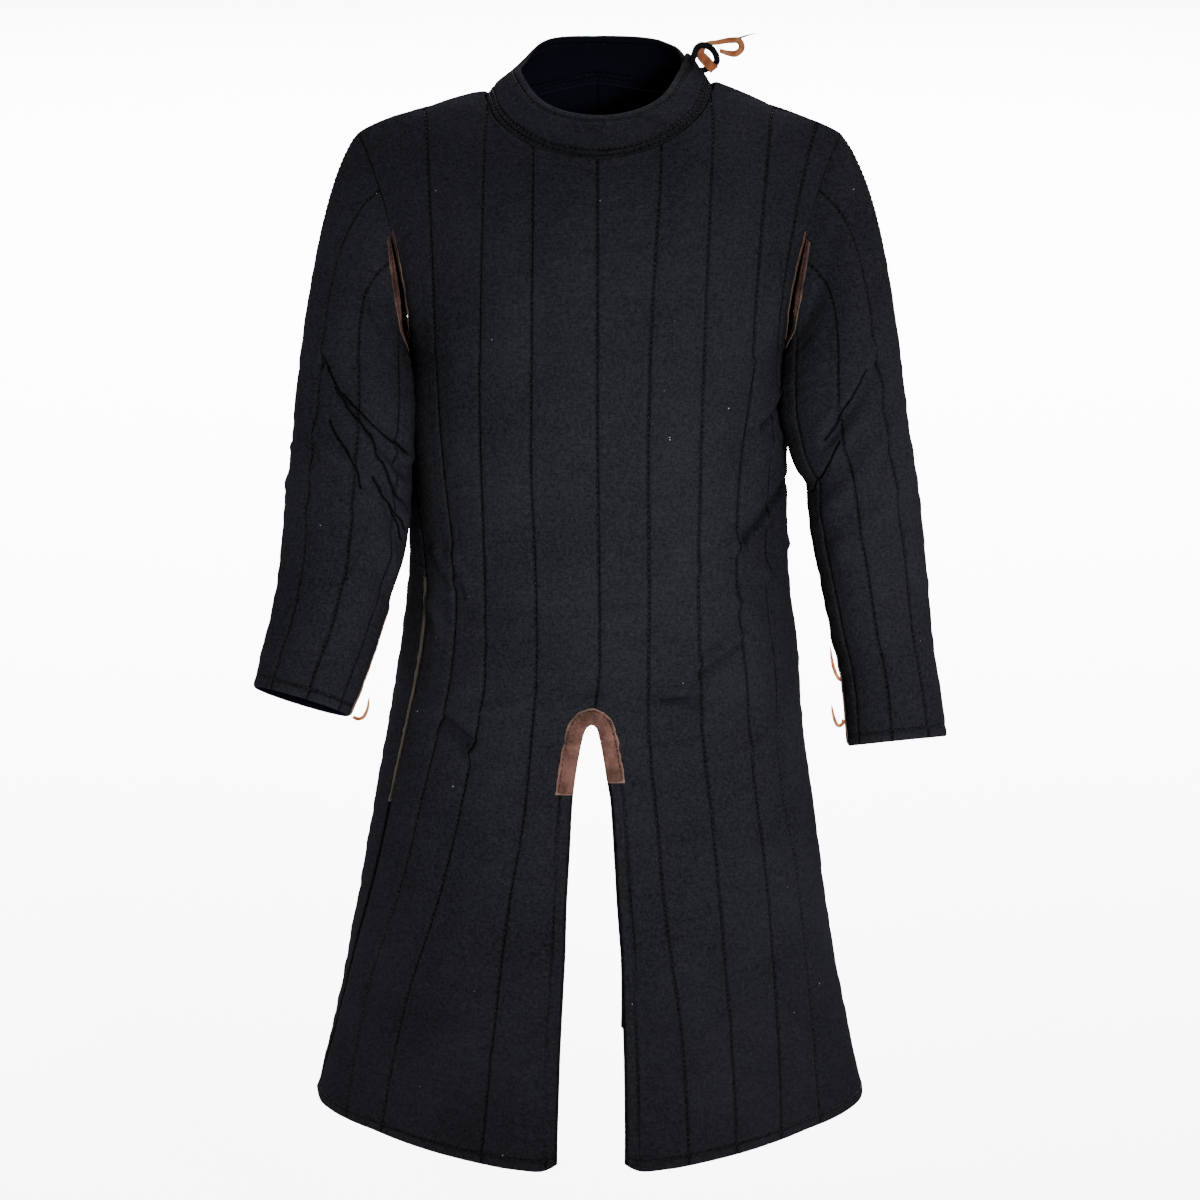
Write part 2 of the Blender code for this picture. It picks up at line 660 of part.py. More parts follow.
def wall(surface, crown=CROWN, edge=EDGE):
    """The closed wall of a surface: raised outside by its thickness, plain inside, rims closed."""
    points, normals, faces = surface["points"], surface["normals"], surface["faces"]
    starts = faces.reshape(-1)
    ends = np.roll(faces, -1, axis=1).reshape(-1)
    known = set(zip(starts.tolist(), ends.tolist()))
    rim = [(a, b) for a, b in known if (b, a) not in known]
    rim.sort()
    after = dict(rim)
    before = {b: a for a, b in rim}
    moved = points.copy()
    thick = surface["thick"].copy()
    for v in after:
        along = points[after[v]] - points[before[v]]
        moved[v] += unit(np.cross(normals[v], along)) * SEAM_GAP / 2
        thick[v] = edge
    outer = moved - normals * (crown - thick)[:, None]
    inner = moved - normals * crown
    n = len(points)
    closing = []
    for a, b in rim:
        # the same diagonal on both sides of a seam, so that the two rims stay parallel
        if tuple(np.round(points[a], 5)) < tuple(np.round(points[b], 5)):
            closing += [(b, a, b + n), (a, a + n, b + n)]
        else:
            closing += [(b, a, a + n), (b, a + n, b + n)]
    surface["outer"] = outer
    return np.concatenate([outer, inner]), faces.tolist() + (faces[:, ::-1] + n).tolist() + closing


def painted(name, colour, roughness):
    """The piece's own material."""
    material = bpy.data.materials.new(name)
    material.use_nodes = True
    shader = material.node_tree.nodes["Principled BSDF"]
    shader.inputs["Base Color"].default_value = (*colour, 1)
    shader.inputs["Roughness"].default_value = roughness
    shader.inputs["Metallic"].default_value = 0
    return material


def add_piece(name, points, faces, colour, roughness=0.9):
    """A named mesh object with its own material."""
    mesh = bpy.data.meshes.new(name)
    mesh.from_pydata(np.asarray(points).tolist(), [], [list(face) for face in faces])
    mesh.update()
    mesh.shade_smooth()
    mesh.set_sharp_from_angle(angle=math.radians(50))
    mesh.materials.append(painted(name, colour, roughness))
    piece = bpy.data.objects.new(name, mesh)
    bpy.context.scene.collection.objects.link(piece)


def add_strip(name, low, normals, lift):
    """A leather strip lying over rows of points on the cloth, lifted off it.

    low is a grid of points on the cloth's outer surface, and normals are the directions out of it.
    """
    rows, columns = low.shape[:2]
    bottom = (low + normals * lift).reshape(-1, 3)
    top = (low + normals * (lift + LEATHER)).reshape(-1, 3)
    faces = quads(rows, columns, 0, False)
    a, b, _, d = (top[faces[0, k]] for k in range(4))
    if np.cross(b - a, d - a) @ normals[0, 0] < 0:
        faces = faces[:, ::-1]
    n = rows * columns
    starts = faces.reshape(-1)
    ends = np.roll(faces, -1, axis=1).reshape(-1)
    known = set(zip(starts.tolist(), ends.tolist()))
    rim = [(b + n, a + n, a, b) for a, b in known if (b, a) not in known]
    points = np.concatenate([bottom, top])
    add_piece(name, points, (faces + n).tolist() + faces[:, ::-1].tolist() + rim, SUEDE)


def add_thong(name, route, width, colour=LACE_LEATHER):
    """A lace: a round tube along a smooth curve through the route's points."""
    route = np.array(route)
    run = np.concatenate([[0], np.cumsum(np.linalg.norm(np.diff(route, axis=0), axis=1))])
    count = round(run[-1] / (LACE_STEP * width))
    at = np.linspace(0, run[-1], count + 1)
    keyed = {"run": run, "x": route[:, 0], "y": route[:, 1], "z": route[:, 2]}
    path = np.stack([read(keyed, "run", axis, at) for axis in "xyz"], axis=-1)
    curve = bpy.data.curves.new(name, "CURVE")
    curve.dimensions = "3D"
    curve.bevel_depth = width / 2
    curve.bevel_resolution = 2
    curve.use_fill_caps = True
    spline = curve.splines.new("POLY")
    spline.points.add(len(path) - 1)
    for point, place in zip(spline.points, path):
        point.co = (*place, 1)
    curve.materials.append(painted(name, colour, 0.6))
    thong = bpy.data.objects.new(name, curve)
    bpy.context.scene.collection.objects.link(thong)


def nearest_outer(surface, points):
    """The surface's outer point and normal for each of its base points."""
    index = {tuple(p): i for i, p in enumerate(np.round(surface["points"], 6).tolist())}
    keys = [tuple(p) for p in np.round(points, 6).reshape(-1, 3).tolist()]
    found = np.array([index[key] for key in keys])
    shape = points.shape
    return surface["outer"][found].reshape(shape), surface["normals"][found].reshape(shape)


def edge_strip(name, surface, sections, width, lift):
    """A leather strip along an edge: each section runs from a point of the edge towards another."""
    edge, edge_out = nearest_outer(surface, np.array([pair[0] for pair in sections]))
    inner, inner_out = nearest_outer(surface, np.array([pair[1] for pair in sections]))
    share = (width / np.linalg.norm(inner - edge, axis=1)).clip(0, 0.98)[:, None]
    steps = (0.0, 0.5, 1.0)
    low = np.stack([edge + (inner - edge) * share * step for step in steps], axis=1)
    out = np.stack([unit(edge_out + (inner_out - edge_out) * share * step) for step in steps], axis=1)
    add_strip(name, low, out, lift)


def on_panel(surface, halves, face, across, height):
    """Outer point and normal of the front or back, across metres left of its slit's middle line."""
    side = LEFT if across >= 0 else RIGHT
    grid = halves[face, side][0]
    stops = front_stops if face == FRONT else back_stops
    row = int(np.clip(np.searchsorted(BODY_ROWS, height) - 1, 0, len(BODY_ROWS) - 2))
    up = (height - BODY_ROWS[row]) / (BODY_ROWS[row + 1] - BODY_ROWS[row])
    low = between(stops(BODY_ROWS[row], side))
    high = between(stops(BODY_ROWS[row + 1], side))
    places = np.abs((low + (high - low) * up) - middle_line(height, side, face))
    column = int(np.clip(np.searchsorted(places, abs(across)) - 1, 0, len(places) - 2))
    along = (abs(across) - places[column]) / (places[column + 1] - places[column])
    corners = grid[row : row + 2, column : column + 2]
    outer, normal = nearest_outer(surface, corners)
    found = []
    for values in (outer, normal):
        lower = values[0, 0] + (values[0, 1] - values[0, 0]) * along
        upper = values[1, 0] + (values[1, 1] - values[1, 0]) * along
        found.append(lower + (upper - lower) * up)
    return found[0], unit(found[1])


def middle_line(height, side, face):
    """Distance along the cloth from the centre front to the middle line of a panel's slit."""
    if face == BACK:
        return section(height, side)[2][-1]
    return side * np.interp(height, SLIT["height"], SLIT["shift"])


def slit_patch(name, surface, halves, face):
    """The U of leather round the top of a slit: its inner edge is the slit's, its outer one parallel."""
    foot = SLIT_TOP - SLIT_PATCH_DROP
    leg = SLIT["height"][(SLIT["height"] > foot) & (SLIT["height"] <= SLIT_TOP)]
    leg = np.concatenate([[foot], leg])
    half = np.interp(leg, SLIT["height"], SLIT["half_width"])
    inner = np.stack([np.append(-half, half[-2::-1]), np.append(leg, leg[-2::-1])], axis=-1)
    ahead = unit(np.gradient(inner, axis=0))
    outward = np.stack([-ahead[:, 1], ahead[:, 0]], axis=-1)
    outward[[0, -1]] = [[-1, 0], [1, 0]]
    low = []
    out = []
    for step in (0.02, 0.35, 0.68, 1.0):
        places = inner + outward * SLIT_PATCH_WIDTH * step
        found = [on_panel(surface, halves, face, *place) for place in places]
        low.append([point for point, _ in found])
        out.append([normal for _, normal in found])
    add_strip(name, np.array(low).swapaxes(0, 1), np.array(out).swapaxes(0, 1), SLIT_LIFT)


def armhole_sections(grid):
    """Edge sections of the armpit opening on one panel, from its upper end down to the underarm."""
    first = len(grid) - UPPER_ROWS - 1
    return [(grid[first + row, -1], grid[first + row, -2]) for row in range(SEWN_FROM, -1, -1)]


def neck_stations():
    """Turn in degrees, side, face and top of each mesh column round the neckline."""
    front_right, front_left, back = (
        tops[tops <= 1].tolist() for tops in (FRONT_RIGHT_TOPS, FRONT_LEFT_TOPS, BACK_TOPS)
    )
    found = [(90 * top, LEFT, FRONT, top) for top in front_left]
    found += [(180 - 90 * top, LEFT, BACK, top) for top in back[-2::-1]]
    found += [(180 + 90 * top, RIGHT, BACK, top) for top in back[1:]]
    found += [(360 - 90 * top, RIGHT, FRONT, top) for top in front_right[-2:0:-1]]
    return found


def build_collar(surfaces):
    """The stand collar: a band that starts inside at the wearer's left and laps over its own start."""
    ring = neck_stations()
    laps = [(turn + 360, *rest) for turn, *rest in ring]
    stations = [s for s in ring + laps if COLLAR_START < s[0] < COLLAR_END]
    top_ring = {axis: np.tile(COLLAR_TOP[axis], 3) for axis in "xyz"}
    top_ring["turn"] = np.concatenate([COLLAR_TOP["turn"] + whole for whole in (-360, 0, 360)])
    columns = []
    for turn, side, face, top in stations:
        base = top_edge(np.array(top), side, face)
        before = np.array(max(top - NECK_STEP, 0))
        ahead = base - top_edge(before, side, face)
        if top == 0:
            ahead = np.array([1.0, 0, 0])
        surface = surfaces["front" if face == FRONT else "back"]
        _, normal = nearest_outer(surface, base[None])
        towards_axis = np.array([0, NECK_CENTRE_Y, base[2]]) - base
        inward = unit(np.cross(normal[0], ahead))
        inward = inward * np.sign(inward @ towards_axis)
        low = base - normal[0] * EDGE + inward * COLLAR_INSET
        high = np.array([read(top_ring, "turn", axis, turn) for axis in "xyz"])
        columns.append(low + (high - low) * COLLAR_HEIGHTS[:, None])
    points = np.array(columns).swapaxes(0, 1)
    ahead = np.gradient(points, axis=1)
    upward = np.gradient(points, axis=0)
    outward = unit(np.cross(ahead, upward))
    points = points + outward * COLLAR_BELLY * np.sin(math.pi * COLLAR_HEIGHTS)[:, None, None]
    turns = np.array([s[0] for s in stations])
    tucked = ((COLLAR_END - 360 + 30 - turns) / 30).clip(0, 1)
    points = points - outward * ((COLLAR_WALL + COLLAR_LAP) * tucked)[None, :, None]
    thick = np.tile(np.array([EDGE, EDGE, COLLAR_WALL, EDGE, EDGE])[:, None], (1, len(turns)))
    surface = weld([(points, thick, False)])
    set_normals([surface])
    surfaces["collar"] = surface
    walls, faces = wall(surface, COLLAR_WALL)
    add_piece("collar", walls, faces, COLLAR_CLOTH)


def build():
    """Makes every piece of the garment."""
    for thing in list(bpy.data.objects):
        bpy.data.objects.remove(thing, do_unlink=True)

    halves = {(face, side): half_panel(side, face) for face in (FRONT, BACK) for side in (RIGHT, LEFT)}
    surfaces = {}
    for name, face in (("front", FRONT), ("back", BACK)):
        grids = [(*halves[face, side], (side == RIGHT) == (face == FRONT)) for side in (RIGHT, LEFT)]
        surfaces[name] = weld(grids)
    sleeves = {}
    for name, side in (("sleeve_right", RIGHT), ("sleeve_left", LEFT)):
        edges = [halves[face, side][0][-UPPER_ROWS - 1 :, -1] for face in (FRONT, BACK)]
        sleeves[name] = sleeve_grid(side, *edges)
        surfaces[name] = weld([(*sleeves[name], side == LEFT)])
    set_normals(list(surfaces.values()))
    for name, surface in surfaces.items():
        square_to_shoulder(surface)
        points, faces = wall(surface)
        add_piece(name, points, faces, CLOTH)
    build_collar(surfaces)

    slit_patch("front_slit_patch", surfaces["front"], halves, FRONT)
    slit_patch("back_slit_patch", surfaces["back"], halves, BACK)
    for word, side in (("right", RIGHT), ("left", LEFT)):
        grid = halves[BACK, side][0]
        lowest = SIDE_SLIT_TOP - SIDE_STRIP_LENGTH
        rows = np.flatnonzero((BODY_ROWS > lowest) & (BODY_ROWS < SIDE_SLIT_TOP))
        sections = [(grid[r, -1], grid[r, -2]) for r in rows]
        edge_strip("side_facing_" + word, surfaces["back"], sections, SIDE_STRIP, SIDE_LIFT)

        for panel, face in (("front", FRONT), ("back", BACK)):
            sections = armhole_sections(halves[face, side][0])
            name = f"armpit_binding_{panel}_{word}"
            edge_strip(name, surfaces[panel], sections, ARMPIT_STRIP, ARMPIT_LIFT)

        sleeve = surfaces["sleeve_" + word]
        grid = sleeves["sleeve_" + word][0]
        open_columns = [m % SLEEVE_COLUMNS for m in range(-SEWN_FROM, SEWN_FROM + 1)]
        sections = [(grid[0, m], grid[1, m]) for m in open_columns]
        name = "armpit_binding_sleeve_" + word
        edge_strip(name, sleeve, sections, ARMPIT_STRIP, ARMPIT_LIFT)

        top = next(r for r in range(len(grid)) if not np.allclose(grid[r, 0], grid[r, -1])) - 1
        down = range(len(grid) - 1, top, -1)
        sections = [(grid[r, 0], grid[r, 1]) for r in down]
        sections += [(grid[top, 0], grid[top - 1, 1]), (grid[top, 0], grid[top - 1, 0])]
        sections += [(grid[top, 0], grid[top - 1, -2])]
        sections += [(grid[r, -1], grid[r, -2]) for r in reversed(down)]
        edge_strip("cuff_facing_" + word, sleeve, sections, CUFF_PATCH_WIDTH, CUFF_LIFT)

    add_thong("collar_loop", COLLAR_LOOP_ROUTE, COLLAR_CORD, COLLAR_CLOTH)
    add_thong("collar_thong", COLLAR_LACE_ROUTE, COLLAR_LACE)
    add_thong("cuff_thong_right", CUFF_LACE_RIGHT_ROUTE, CUFF_LACE)
    add_thong("cuff_thong_left_upper", CUFF_LACE_LEFT_UPPER_ROUTE, CUFF_LACE)
    add_thong("cuff_thong_left_lower", CUFF_LACE_LEFT_LOWER_ROUTE, CUFF_LACE)


build()
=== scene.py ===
"""A padded, quilted jacket with leather-bound slits, filled out as it is worn."""

import json
import math

import bpy
import numpy as np
from mathutils import Vector
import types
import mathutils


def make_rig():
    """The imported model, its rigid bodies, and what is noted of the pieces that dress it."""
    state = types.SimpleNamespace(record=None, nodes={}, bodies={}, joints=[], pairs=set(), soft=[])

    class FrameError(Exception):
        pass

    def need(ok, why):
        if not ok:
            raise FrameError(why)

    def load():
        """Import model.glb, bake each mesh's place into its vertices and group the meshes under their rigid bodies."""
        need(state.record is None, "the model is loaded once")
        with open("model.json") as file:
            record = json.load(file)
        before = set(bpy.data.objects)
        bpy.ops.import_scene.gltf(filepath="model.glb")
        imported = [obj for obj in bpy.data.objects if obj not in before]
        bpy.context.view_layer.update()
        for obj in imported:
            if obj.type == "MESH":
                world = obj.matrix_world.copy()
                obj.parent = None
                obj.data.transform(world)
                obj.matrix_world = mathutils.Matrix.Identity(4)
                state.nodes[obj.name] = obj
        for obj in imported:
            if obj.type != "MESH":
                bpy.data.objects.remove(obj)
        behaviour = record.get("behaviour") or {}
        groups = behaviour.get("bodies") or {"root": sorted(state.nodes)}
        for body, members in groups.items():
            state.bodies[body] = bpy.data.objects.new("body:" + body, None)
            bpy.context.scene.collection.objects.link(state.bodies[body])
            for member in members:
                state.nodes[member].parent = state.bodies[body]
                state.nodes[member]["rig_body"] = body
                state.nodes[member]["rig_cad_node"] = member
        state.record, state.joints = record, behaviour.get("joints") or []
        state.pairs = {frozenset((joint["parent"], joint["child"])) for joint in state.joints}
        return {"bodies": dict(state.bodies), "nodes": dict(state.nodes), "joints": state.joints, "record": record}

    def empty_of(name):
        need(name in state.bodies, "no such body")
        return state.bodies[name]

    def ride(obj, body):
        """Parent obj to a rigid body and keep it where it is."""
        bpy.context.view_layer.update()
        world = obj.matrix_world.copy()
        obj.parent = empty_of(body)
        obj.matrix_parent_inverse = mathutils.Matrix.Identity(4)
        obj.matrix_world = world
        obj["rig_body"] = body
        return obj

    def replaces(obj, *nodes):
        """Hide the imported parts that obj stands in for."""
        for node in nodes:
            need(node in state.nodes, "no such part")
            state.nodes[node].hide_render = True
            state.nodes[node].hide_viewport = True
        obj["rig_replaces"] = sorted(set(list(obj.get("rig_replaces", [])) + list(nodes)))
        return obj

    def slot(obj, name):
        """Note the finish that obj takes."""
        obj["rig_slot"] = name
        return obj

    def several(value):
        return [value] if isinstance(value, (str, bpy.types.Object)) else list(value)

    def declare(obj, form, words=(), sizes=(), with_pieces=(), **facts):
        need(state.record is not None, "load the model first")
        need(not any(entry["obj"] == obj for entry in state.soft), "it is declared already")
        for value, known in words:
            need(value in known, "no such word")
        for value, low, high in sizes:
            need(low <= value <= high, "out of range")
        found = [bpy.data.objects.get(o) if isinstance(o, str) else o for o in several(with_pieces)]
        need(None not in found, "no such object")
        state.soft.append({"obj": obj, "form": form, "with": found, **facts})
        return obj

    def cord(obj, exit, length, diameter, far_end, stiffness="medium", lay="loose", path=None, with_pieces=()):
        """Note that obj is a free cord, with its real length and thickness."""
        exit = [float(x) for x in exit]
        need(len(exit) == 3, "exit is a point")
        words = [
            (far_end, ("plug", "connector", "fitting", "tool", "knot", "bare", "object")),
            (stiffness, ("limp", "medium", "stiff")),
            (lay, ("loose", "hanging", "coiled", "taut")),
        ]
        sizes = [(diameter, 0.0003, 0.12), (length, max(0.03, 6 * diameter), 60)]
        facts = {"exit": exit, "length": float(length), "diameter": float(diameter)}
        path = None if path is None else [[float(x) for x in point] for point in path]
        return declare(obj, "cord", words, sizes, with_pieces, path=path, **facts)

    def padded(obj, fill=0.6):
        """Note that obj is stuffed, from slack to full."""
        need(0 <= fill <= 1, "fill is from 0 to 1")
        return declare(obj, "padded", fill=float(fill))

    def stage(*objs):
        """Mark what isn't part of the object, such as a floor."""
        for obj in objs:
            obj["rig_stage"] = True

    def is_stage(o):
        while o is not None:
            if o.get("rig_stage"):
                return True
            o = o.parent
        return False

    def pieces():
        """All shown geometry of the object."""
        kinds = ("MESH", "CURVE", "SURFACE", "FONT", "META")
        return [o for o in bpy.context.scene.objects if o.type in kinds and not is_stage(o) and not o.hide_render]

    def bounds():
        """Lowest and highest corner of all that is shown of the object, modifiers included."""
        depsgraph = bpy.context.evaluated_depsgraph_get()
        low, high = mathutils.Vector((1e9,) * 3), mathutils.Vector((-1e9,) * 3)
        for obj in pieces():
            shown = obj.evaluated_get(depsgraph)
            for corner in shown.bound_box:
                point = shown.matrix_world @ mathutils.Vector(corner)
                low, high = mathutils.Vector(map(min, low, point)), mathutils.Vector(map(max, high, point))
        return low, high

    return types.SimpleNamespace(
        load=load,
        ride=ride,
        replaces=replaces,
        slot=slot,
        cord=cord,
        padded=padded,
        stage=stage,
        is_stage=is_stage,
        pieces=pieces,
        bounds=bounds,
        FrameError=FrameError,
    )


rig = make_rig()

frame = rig.load()
cad_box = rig.bounds()

# The camera stands in front of the garment, 4.2 m from the middle of its front and 14 degrees above it.
# The shift moves the garment a quarter of a hundredth of the frame's width to the left.
camera_data = bpy.data.cameras.new("camera")
camera_data.sensor_width = 36
camera_data.lens = 126
camera_data.shift_x = 3 / 1200
camera = bpy.data.objects.new("camera", camera_data)
camera.location = (0, -4.0753, 0.5061)
camera.rotation_euler = (math.radians(76), 0, 0)
bpy.context.scene.collection.objects.link(camera)
bpy.context.scene.camera = camera


# The laces are narrow thongs of tan leather, cut with a blade, their edges darker than their faces. One is
# tied in a loop through the collar's black cord loop, with a flat end and a pointed tail, and three hang from
# the cuffs' slits. They come first because their routes are the CAD model's own.
def unit(vectors):
    """The vectors at length one."""
    return vectors / np.maximum(np.linalg.norm(vectors, axis=-1, keepdims=True), 1e-12)


def hermite(start, start_slope, end, end_slope, t):
    """The cubic curve that leaves start and reaches end with the given slopes."""
    return (
        (2 * t**3 - 3 * t**2 + 1) * start
        + (t**3 - 2 * t**2 + t) * start_slope
        + (3 * t**2 - 2 * t**3) * end
        + (t**3 - t**2) * end_slope
    )


def smooth(x, y, at):
    """Values at any place on a smooth curve through (x, y), where y may hold points."""
    x, y = np.asarray(x, float), np.asarray(y, float)
    if x[0] > x[-1]:
        x, y = x[::-1], y[::-1]
    slope = np.gradient(y, x, axis=0)
    i = np.clip(np.searchsorted(x, at) - 1, 0, len(x) - 2)
    step = x[i + 1] - x[i]
    t = np.clip((at - x[i]) / step, 0, 1)
    if y.ndim > 1:
        step, t = step[:, None], t[:, None]
    return hermite(y[i], slope[i] * step, y[i + 1], slope[i + 1] * step, t)


def along(points):
    """Distance from the first point to each one."""
    steps = np.linalg.norm(np.diff(points, axis=0), axis=-1)
    return np.concatenate([[0], np.cumsum(steps)])


class Wire:
    """A socket of a shader's node tree, on which Python's operators add Math nodes."""

    def __init__(self, tree, socket):
        self.tree = tree
        self.socket = socket

    def node(self, kind, values=(), out=0, **settings):
        """A node of this type with its settings, then the values or links of its sockets."""
        made = self.tree.nodes.new(kind)
        for name, value in settings.items():
            setattr(made, name, value)
        pairs = values.items() if isinstance(values, dict) else enumerate(values)
        for key, value in pairs:
            if isinstance(value, Wire):
                self.tree.links.new(value.socket, made.inputs[key])
            elif value is not None:
                made.inputs[key].default_value = value
        return Wire(self.tree, made.outputs[out])

    def maths(self, operation, *values):
        return self.node("ShaderNodeMath", values, operation=operation)

    def __add__(self, other):
        return self.maths("ADD", self, other)

    def __sub__(self, other):
        return self.maths("SUBTRACT", self, other)

    def __rsub__(self, other):
        return self.maths("SUBTRACT", other, self)

    def __mul__(self, other):
        return self.maths("MULTIPLY", self, other)

    def __pow__(self, other):
        return self.maths("POWER", self, other)

    __radd__ = __add__
    __rmul__ = __mul__

    def ramp(self, low, high):
        """0 below low, 1 above high, straight between."""
        sockets = {0: self, 1: low, 2: high, 3: 0.0, 4: 1.0}
        return self.node("ShaderNodeMapRange", sockets)

    def noise(self, scale, detail=2.0, roughness=0.5, stretch=(1, 1, 1)):
        """Cloudy noise from 0 to 1 at this place, scale features to a metre."""
        place = self.node("ShaderNodeMapping", {0: self, 3: stretch})
        sockets = {"Vector": place, "Scale": scale, "Detail": detail, "Roughness": roughness}
        return self.node("ShaderNodeTexNoise", sockets)

    def blend(self, first, second):
        """Two colours mixed by this value."""
        return self.node("ShaderNodeMix", {0: self, 6: first, 7: second}, out=2, data_type="RGBA")

    def marked(self, name):
        """The value that the mesh holds at this place under this name."""
        return self.node("ShaderNodeAttribute", out=2, attribute_name=name)


def material(name, roughness, paint, **constants):
    """A material: what paint(place) returns is linked, and constants are set on the shader."""
    made = bpy.data.materials.new(name)
    made.use_nodes = True
    tree = made.node_tree
    shader = tree.nodes["Principled BSDF"]
    shader.inputs["Roughness"].default_value = roughness
    for key, value in constants.items():
        shader.inputs[key.replace("_", " ")].default_value = value
    coordinates = tree.nodes.new("ShaderNodeTexCoord")
    for socket, wire in paint(Wire(tree, coordinates.outputs["Object"])).items():
        tree.links.new(wire.socket, shader.inputs[socket])
    return made


def colour(*rgb):
    """A colour's four numbers."""
    return (*rgb, 1)


def thong_leather(place):
    """Tan leather: blotched by two sizes of noise, pale where it is worn, with a fine grain."""
    blotch = place.noise(140, 3)
    worn = place.noise(60, 2).ramp(0.55, 0.72)
    base = blotch.ramp(0.3, 0.7).blend(colour(0.070, 0.0190, 0.0060), colour(0.160, 0.052, 0.0180))
    grain = place.noise(1500, 2)
    bump = place.node("ShaderNodeBump", {"Strength": 0.5, "Distance": 0.0004, "Height": grain})
    return {"Base Color": (worn * 0.6).blend(base, colour(0.22, 0.130, 0.066)), "Normal": bump}


THONG = material("thong leather", 0.65, thong_leather, Specular_IOR_Level=0.08)


def add_mesh(name, points, faces, finish, smooth_angle=60):
    """A named object from points and faces, smooth but for edges sharper than the angle."""
    mesh = bpy.data.meshes.new(name)
    mesh.from_pydata(np.asarray(points).tolist(), [], faces if isinstance(faces, list) else faces.tolist())
    mesh.update()
    mesh.shade_smooth()
    mesh.set_sharp_from_angle(angle=math.radians(smooth_angle))
    mesh.materials.append(finish)
    piece = bpy.data.objects.new(name, mesh)
    bpy.context.scene.collection.objects.link(piece)
    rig.ride(piece, "root")
    return piece


def corners(index):
    """Faces of a grid of point numbers, four corners each."""
    return np.stack([index[:-1, :-1], index[:-1, 1:], index[1:, 1:], index[1:, :-1]], axis=-1)


def quads(rows, columns, closed=False):
    """Faces of a grid of points; closed joins the last column to the first."""
    index = np.arange(rows * columns).reshape(rows, columns)
    if closed:
        index = np.concatenate([index, index[:, :1]], axis=1)
    return corners(index).reshape(-1, 4)


def running(points, axis):
    """Distance of each point of a grid from the first one in its column (axis 0) or row (axis 1)."""
    start = np.zeros_like(points[:1, :, 0] if axis == 0 else points[:, :1, 0])
    steps = np.linalg.norm(np.diff(points, axis=axis), axis=-1)
    return np.concatenate([start, np.cumsum(steps, axis)], axis=axis)


def strand(name, route, width, thick, taper, flat_side, finish=THONG):
    """A strand along a smooth route: its section is a rounded rectangle, width by thick.

    taper gives (share of the length, share of the width, share of the thickness), and flat_side the
    direction that its wide face looks in. Returns the object and its middle line.
    """
    route = np.array(route)
    at = np.linspace(0, 1, 120)
    run = along(route)
    path = smooth(run / run[-1], route, at)
    ahead = unit(np.gradient(path, axis=0))
    across = unit(np.cross(ahead, flat_side))
    out = np.cross(across, ahead)
    share, wide, deep = (np.array(column, float) for column in zip(*taper))
    wide = np.interp(at, share, wide) * width / 2
    deep = np.interp(at, share, deep) * thick / 2
    turn = np.linspace(0, 2 * math.pi, 17)[:-1]
    side = np.sign(np.cos(turn)) * np.abs(np.cos(turn)) ** 0.5
    up = np.sign(np.sin(turn)) * np.abs(np.sin(turn)) ** 0.5
    rings = (
        path[:, None]
        + across[:, None] * (wide[:, None] * side)[..., None]
        + out[:, None] * (deep[:, None] * up)[..., None]
    )
    faces = quads(len(at), 16, closed=True).tolist()
    last = 16 * (len(at) - 1)
    faces += [list(range(16)), list(range(last + 15, last - 1, -1))]
    a, b, c = rings[0, 0], rings[0, 1], rings[1, 0]
    if np.cross(b - a, c - a) @ (a - path[0]) < 0:
        faces = [face[::-1] for face in faces]
    return add_mesh(name, rings.reshape(-1, 3), faces, finish, 50), path


def lace(name, route, width, thick, taper, flat_side, finish=THONG, parts=(), far_end="bare"):
    """A strand that takes its CAD piece's place and slot, with the parts that are tied to it."""
    piece, path = strand(name, route, width, thick, taper, flat_side, finish)
    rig.replaces(piece, name)
    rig.slot(piece, name)
    length = float(along(path)[-1])
    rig.cord(
        piece,
        exit=path[0],
        length=length,
        diameter=width,
        far_end=far_end,
        stiffness="limp",
        path=path,
        with_pieces=parts,
    )


COLLAR_LACE_ROUTE = [
    (0.1140, 0.006, 0.0190),
    (0.1065, 0.010, 0.0265),
    (0.1010, 0.013, 0.0340),
    (0.1050, 0.014, 0.0420),
    (0.1180, 0.013, 0.0450),
    (0.1300, 0.012, 0.0470),
    (0.1380, 0.011, 0.0465),
    (0.1405, 0.010, 0.0400),
    (0.1350, 0.009, 0.0345),
    (0.1270, 0.009, 0.0350),
    (0.1190, 0.009, 0.0375),
]
COLLAR_LACE_TAPER = [
    *((0, 2.0, 0.9), (0.10, 2.08, 0.9), (0.20, 2.0, 0.9), (0.27, 1.2, 1)),
    *((0.36, 0.9, 1), (0.6, 1.2, 1), (0.85, 1.3, 1), (1, 0.8, 1)),
]
TAIL_ROUTE = [
    (0.1270, 0.0120, 0.0465),
    (0.1335, 0.0118, 0.0480),
    (0.1440, 0.0114, 0.0512),
    (0.1540, 0.0110, 0.0540),
]
TAIL_TAPER = [(0, 1, 1), (0.6, 0.7, 0.8), (1, 0.2, 0.3)]
tail, _ = strand("collar_thong_tail", TAIL_ROUTE, 0.0028, 0.0020, TAIL_TAPER, (0, -1, 0.2))
lace("collar_thong", COLLAR_LACE_ROUTE, 0.005, 0.0028, COLLAR_LACE_TAPER, (0.3, -1, 0.2), parts=[tail])

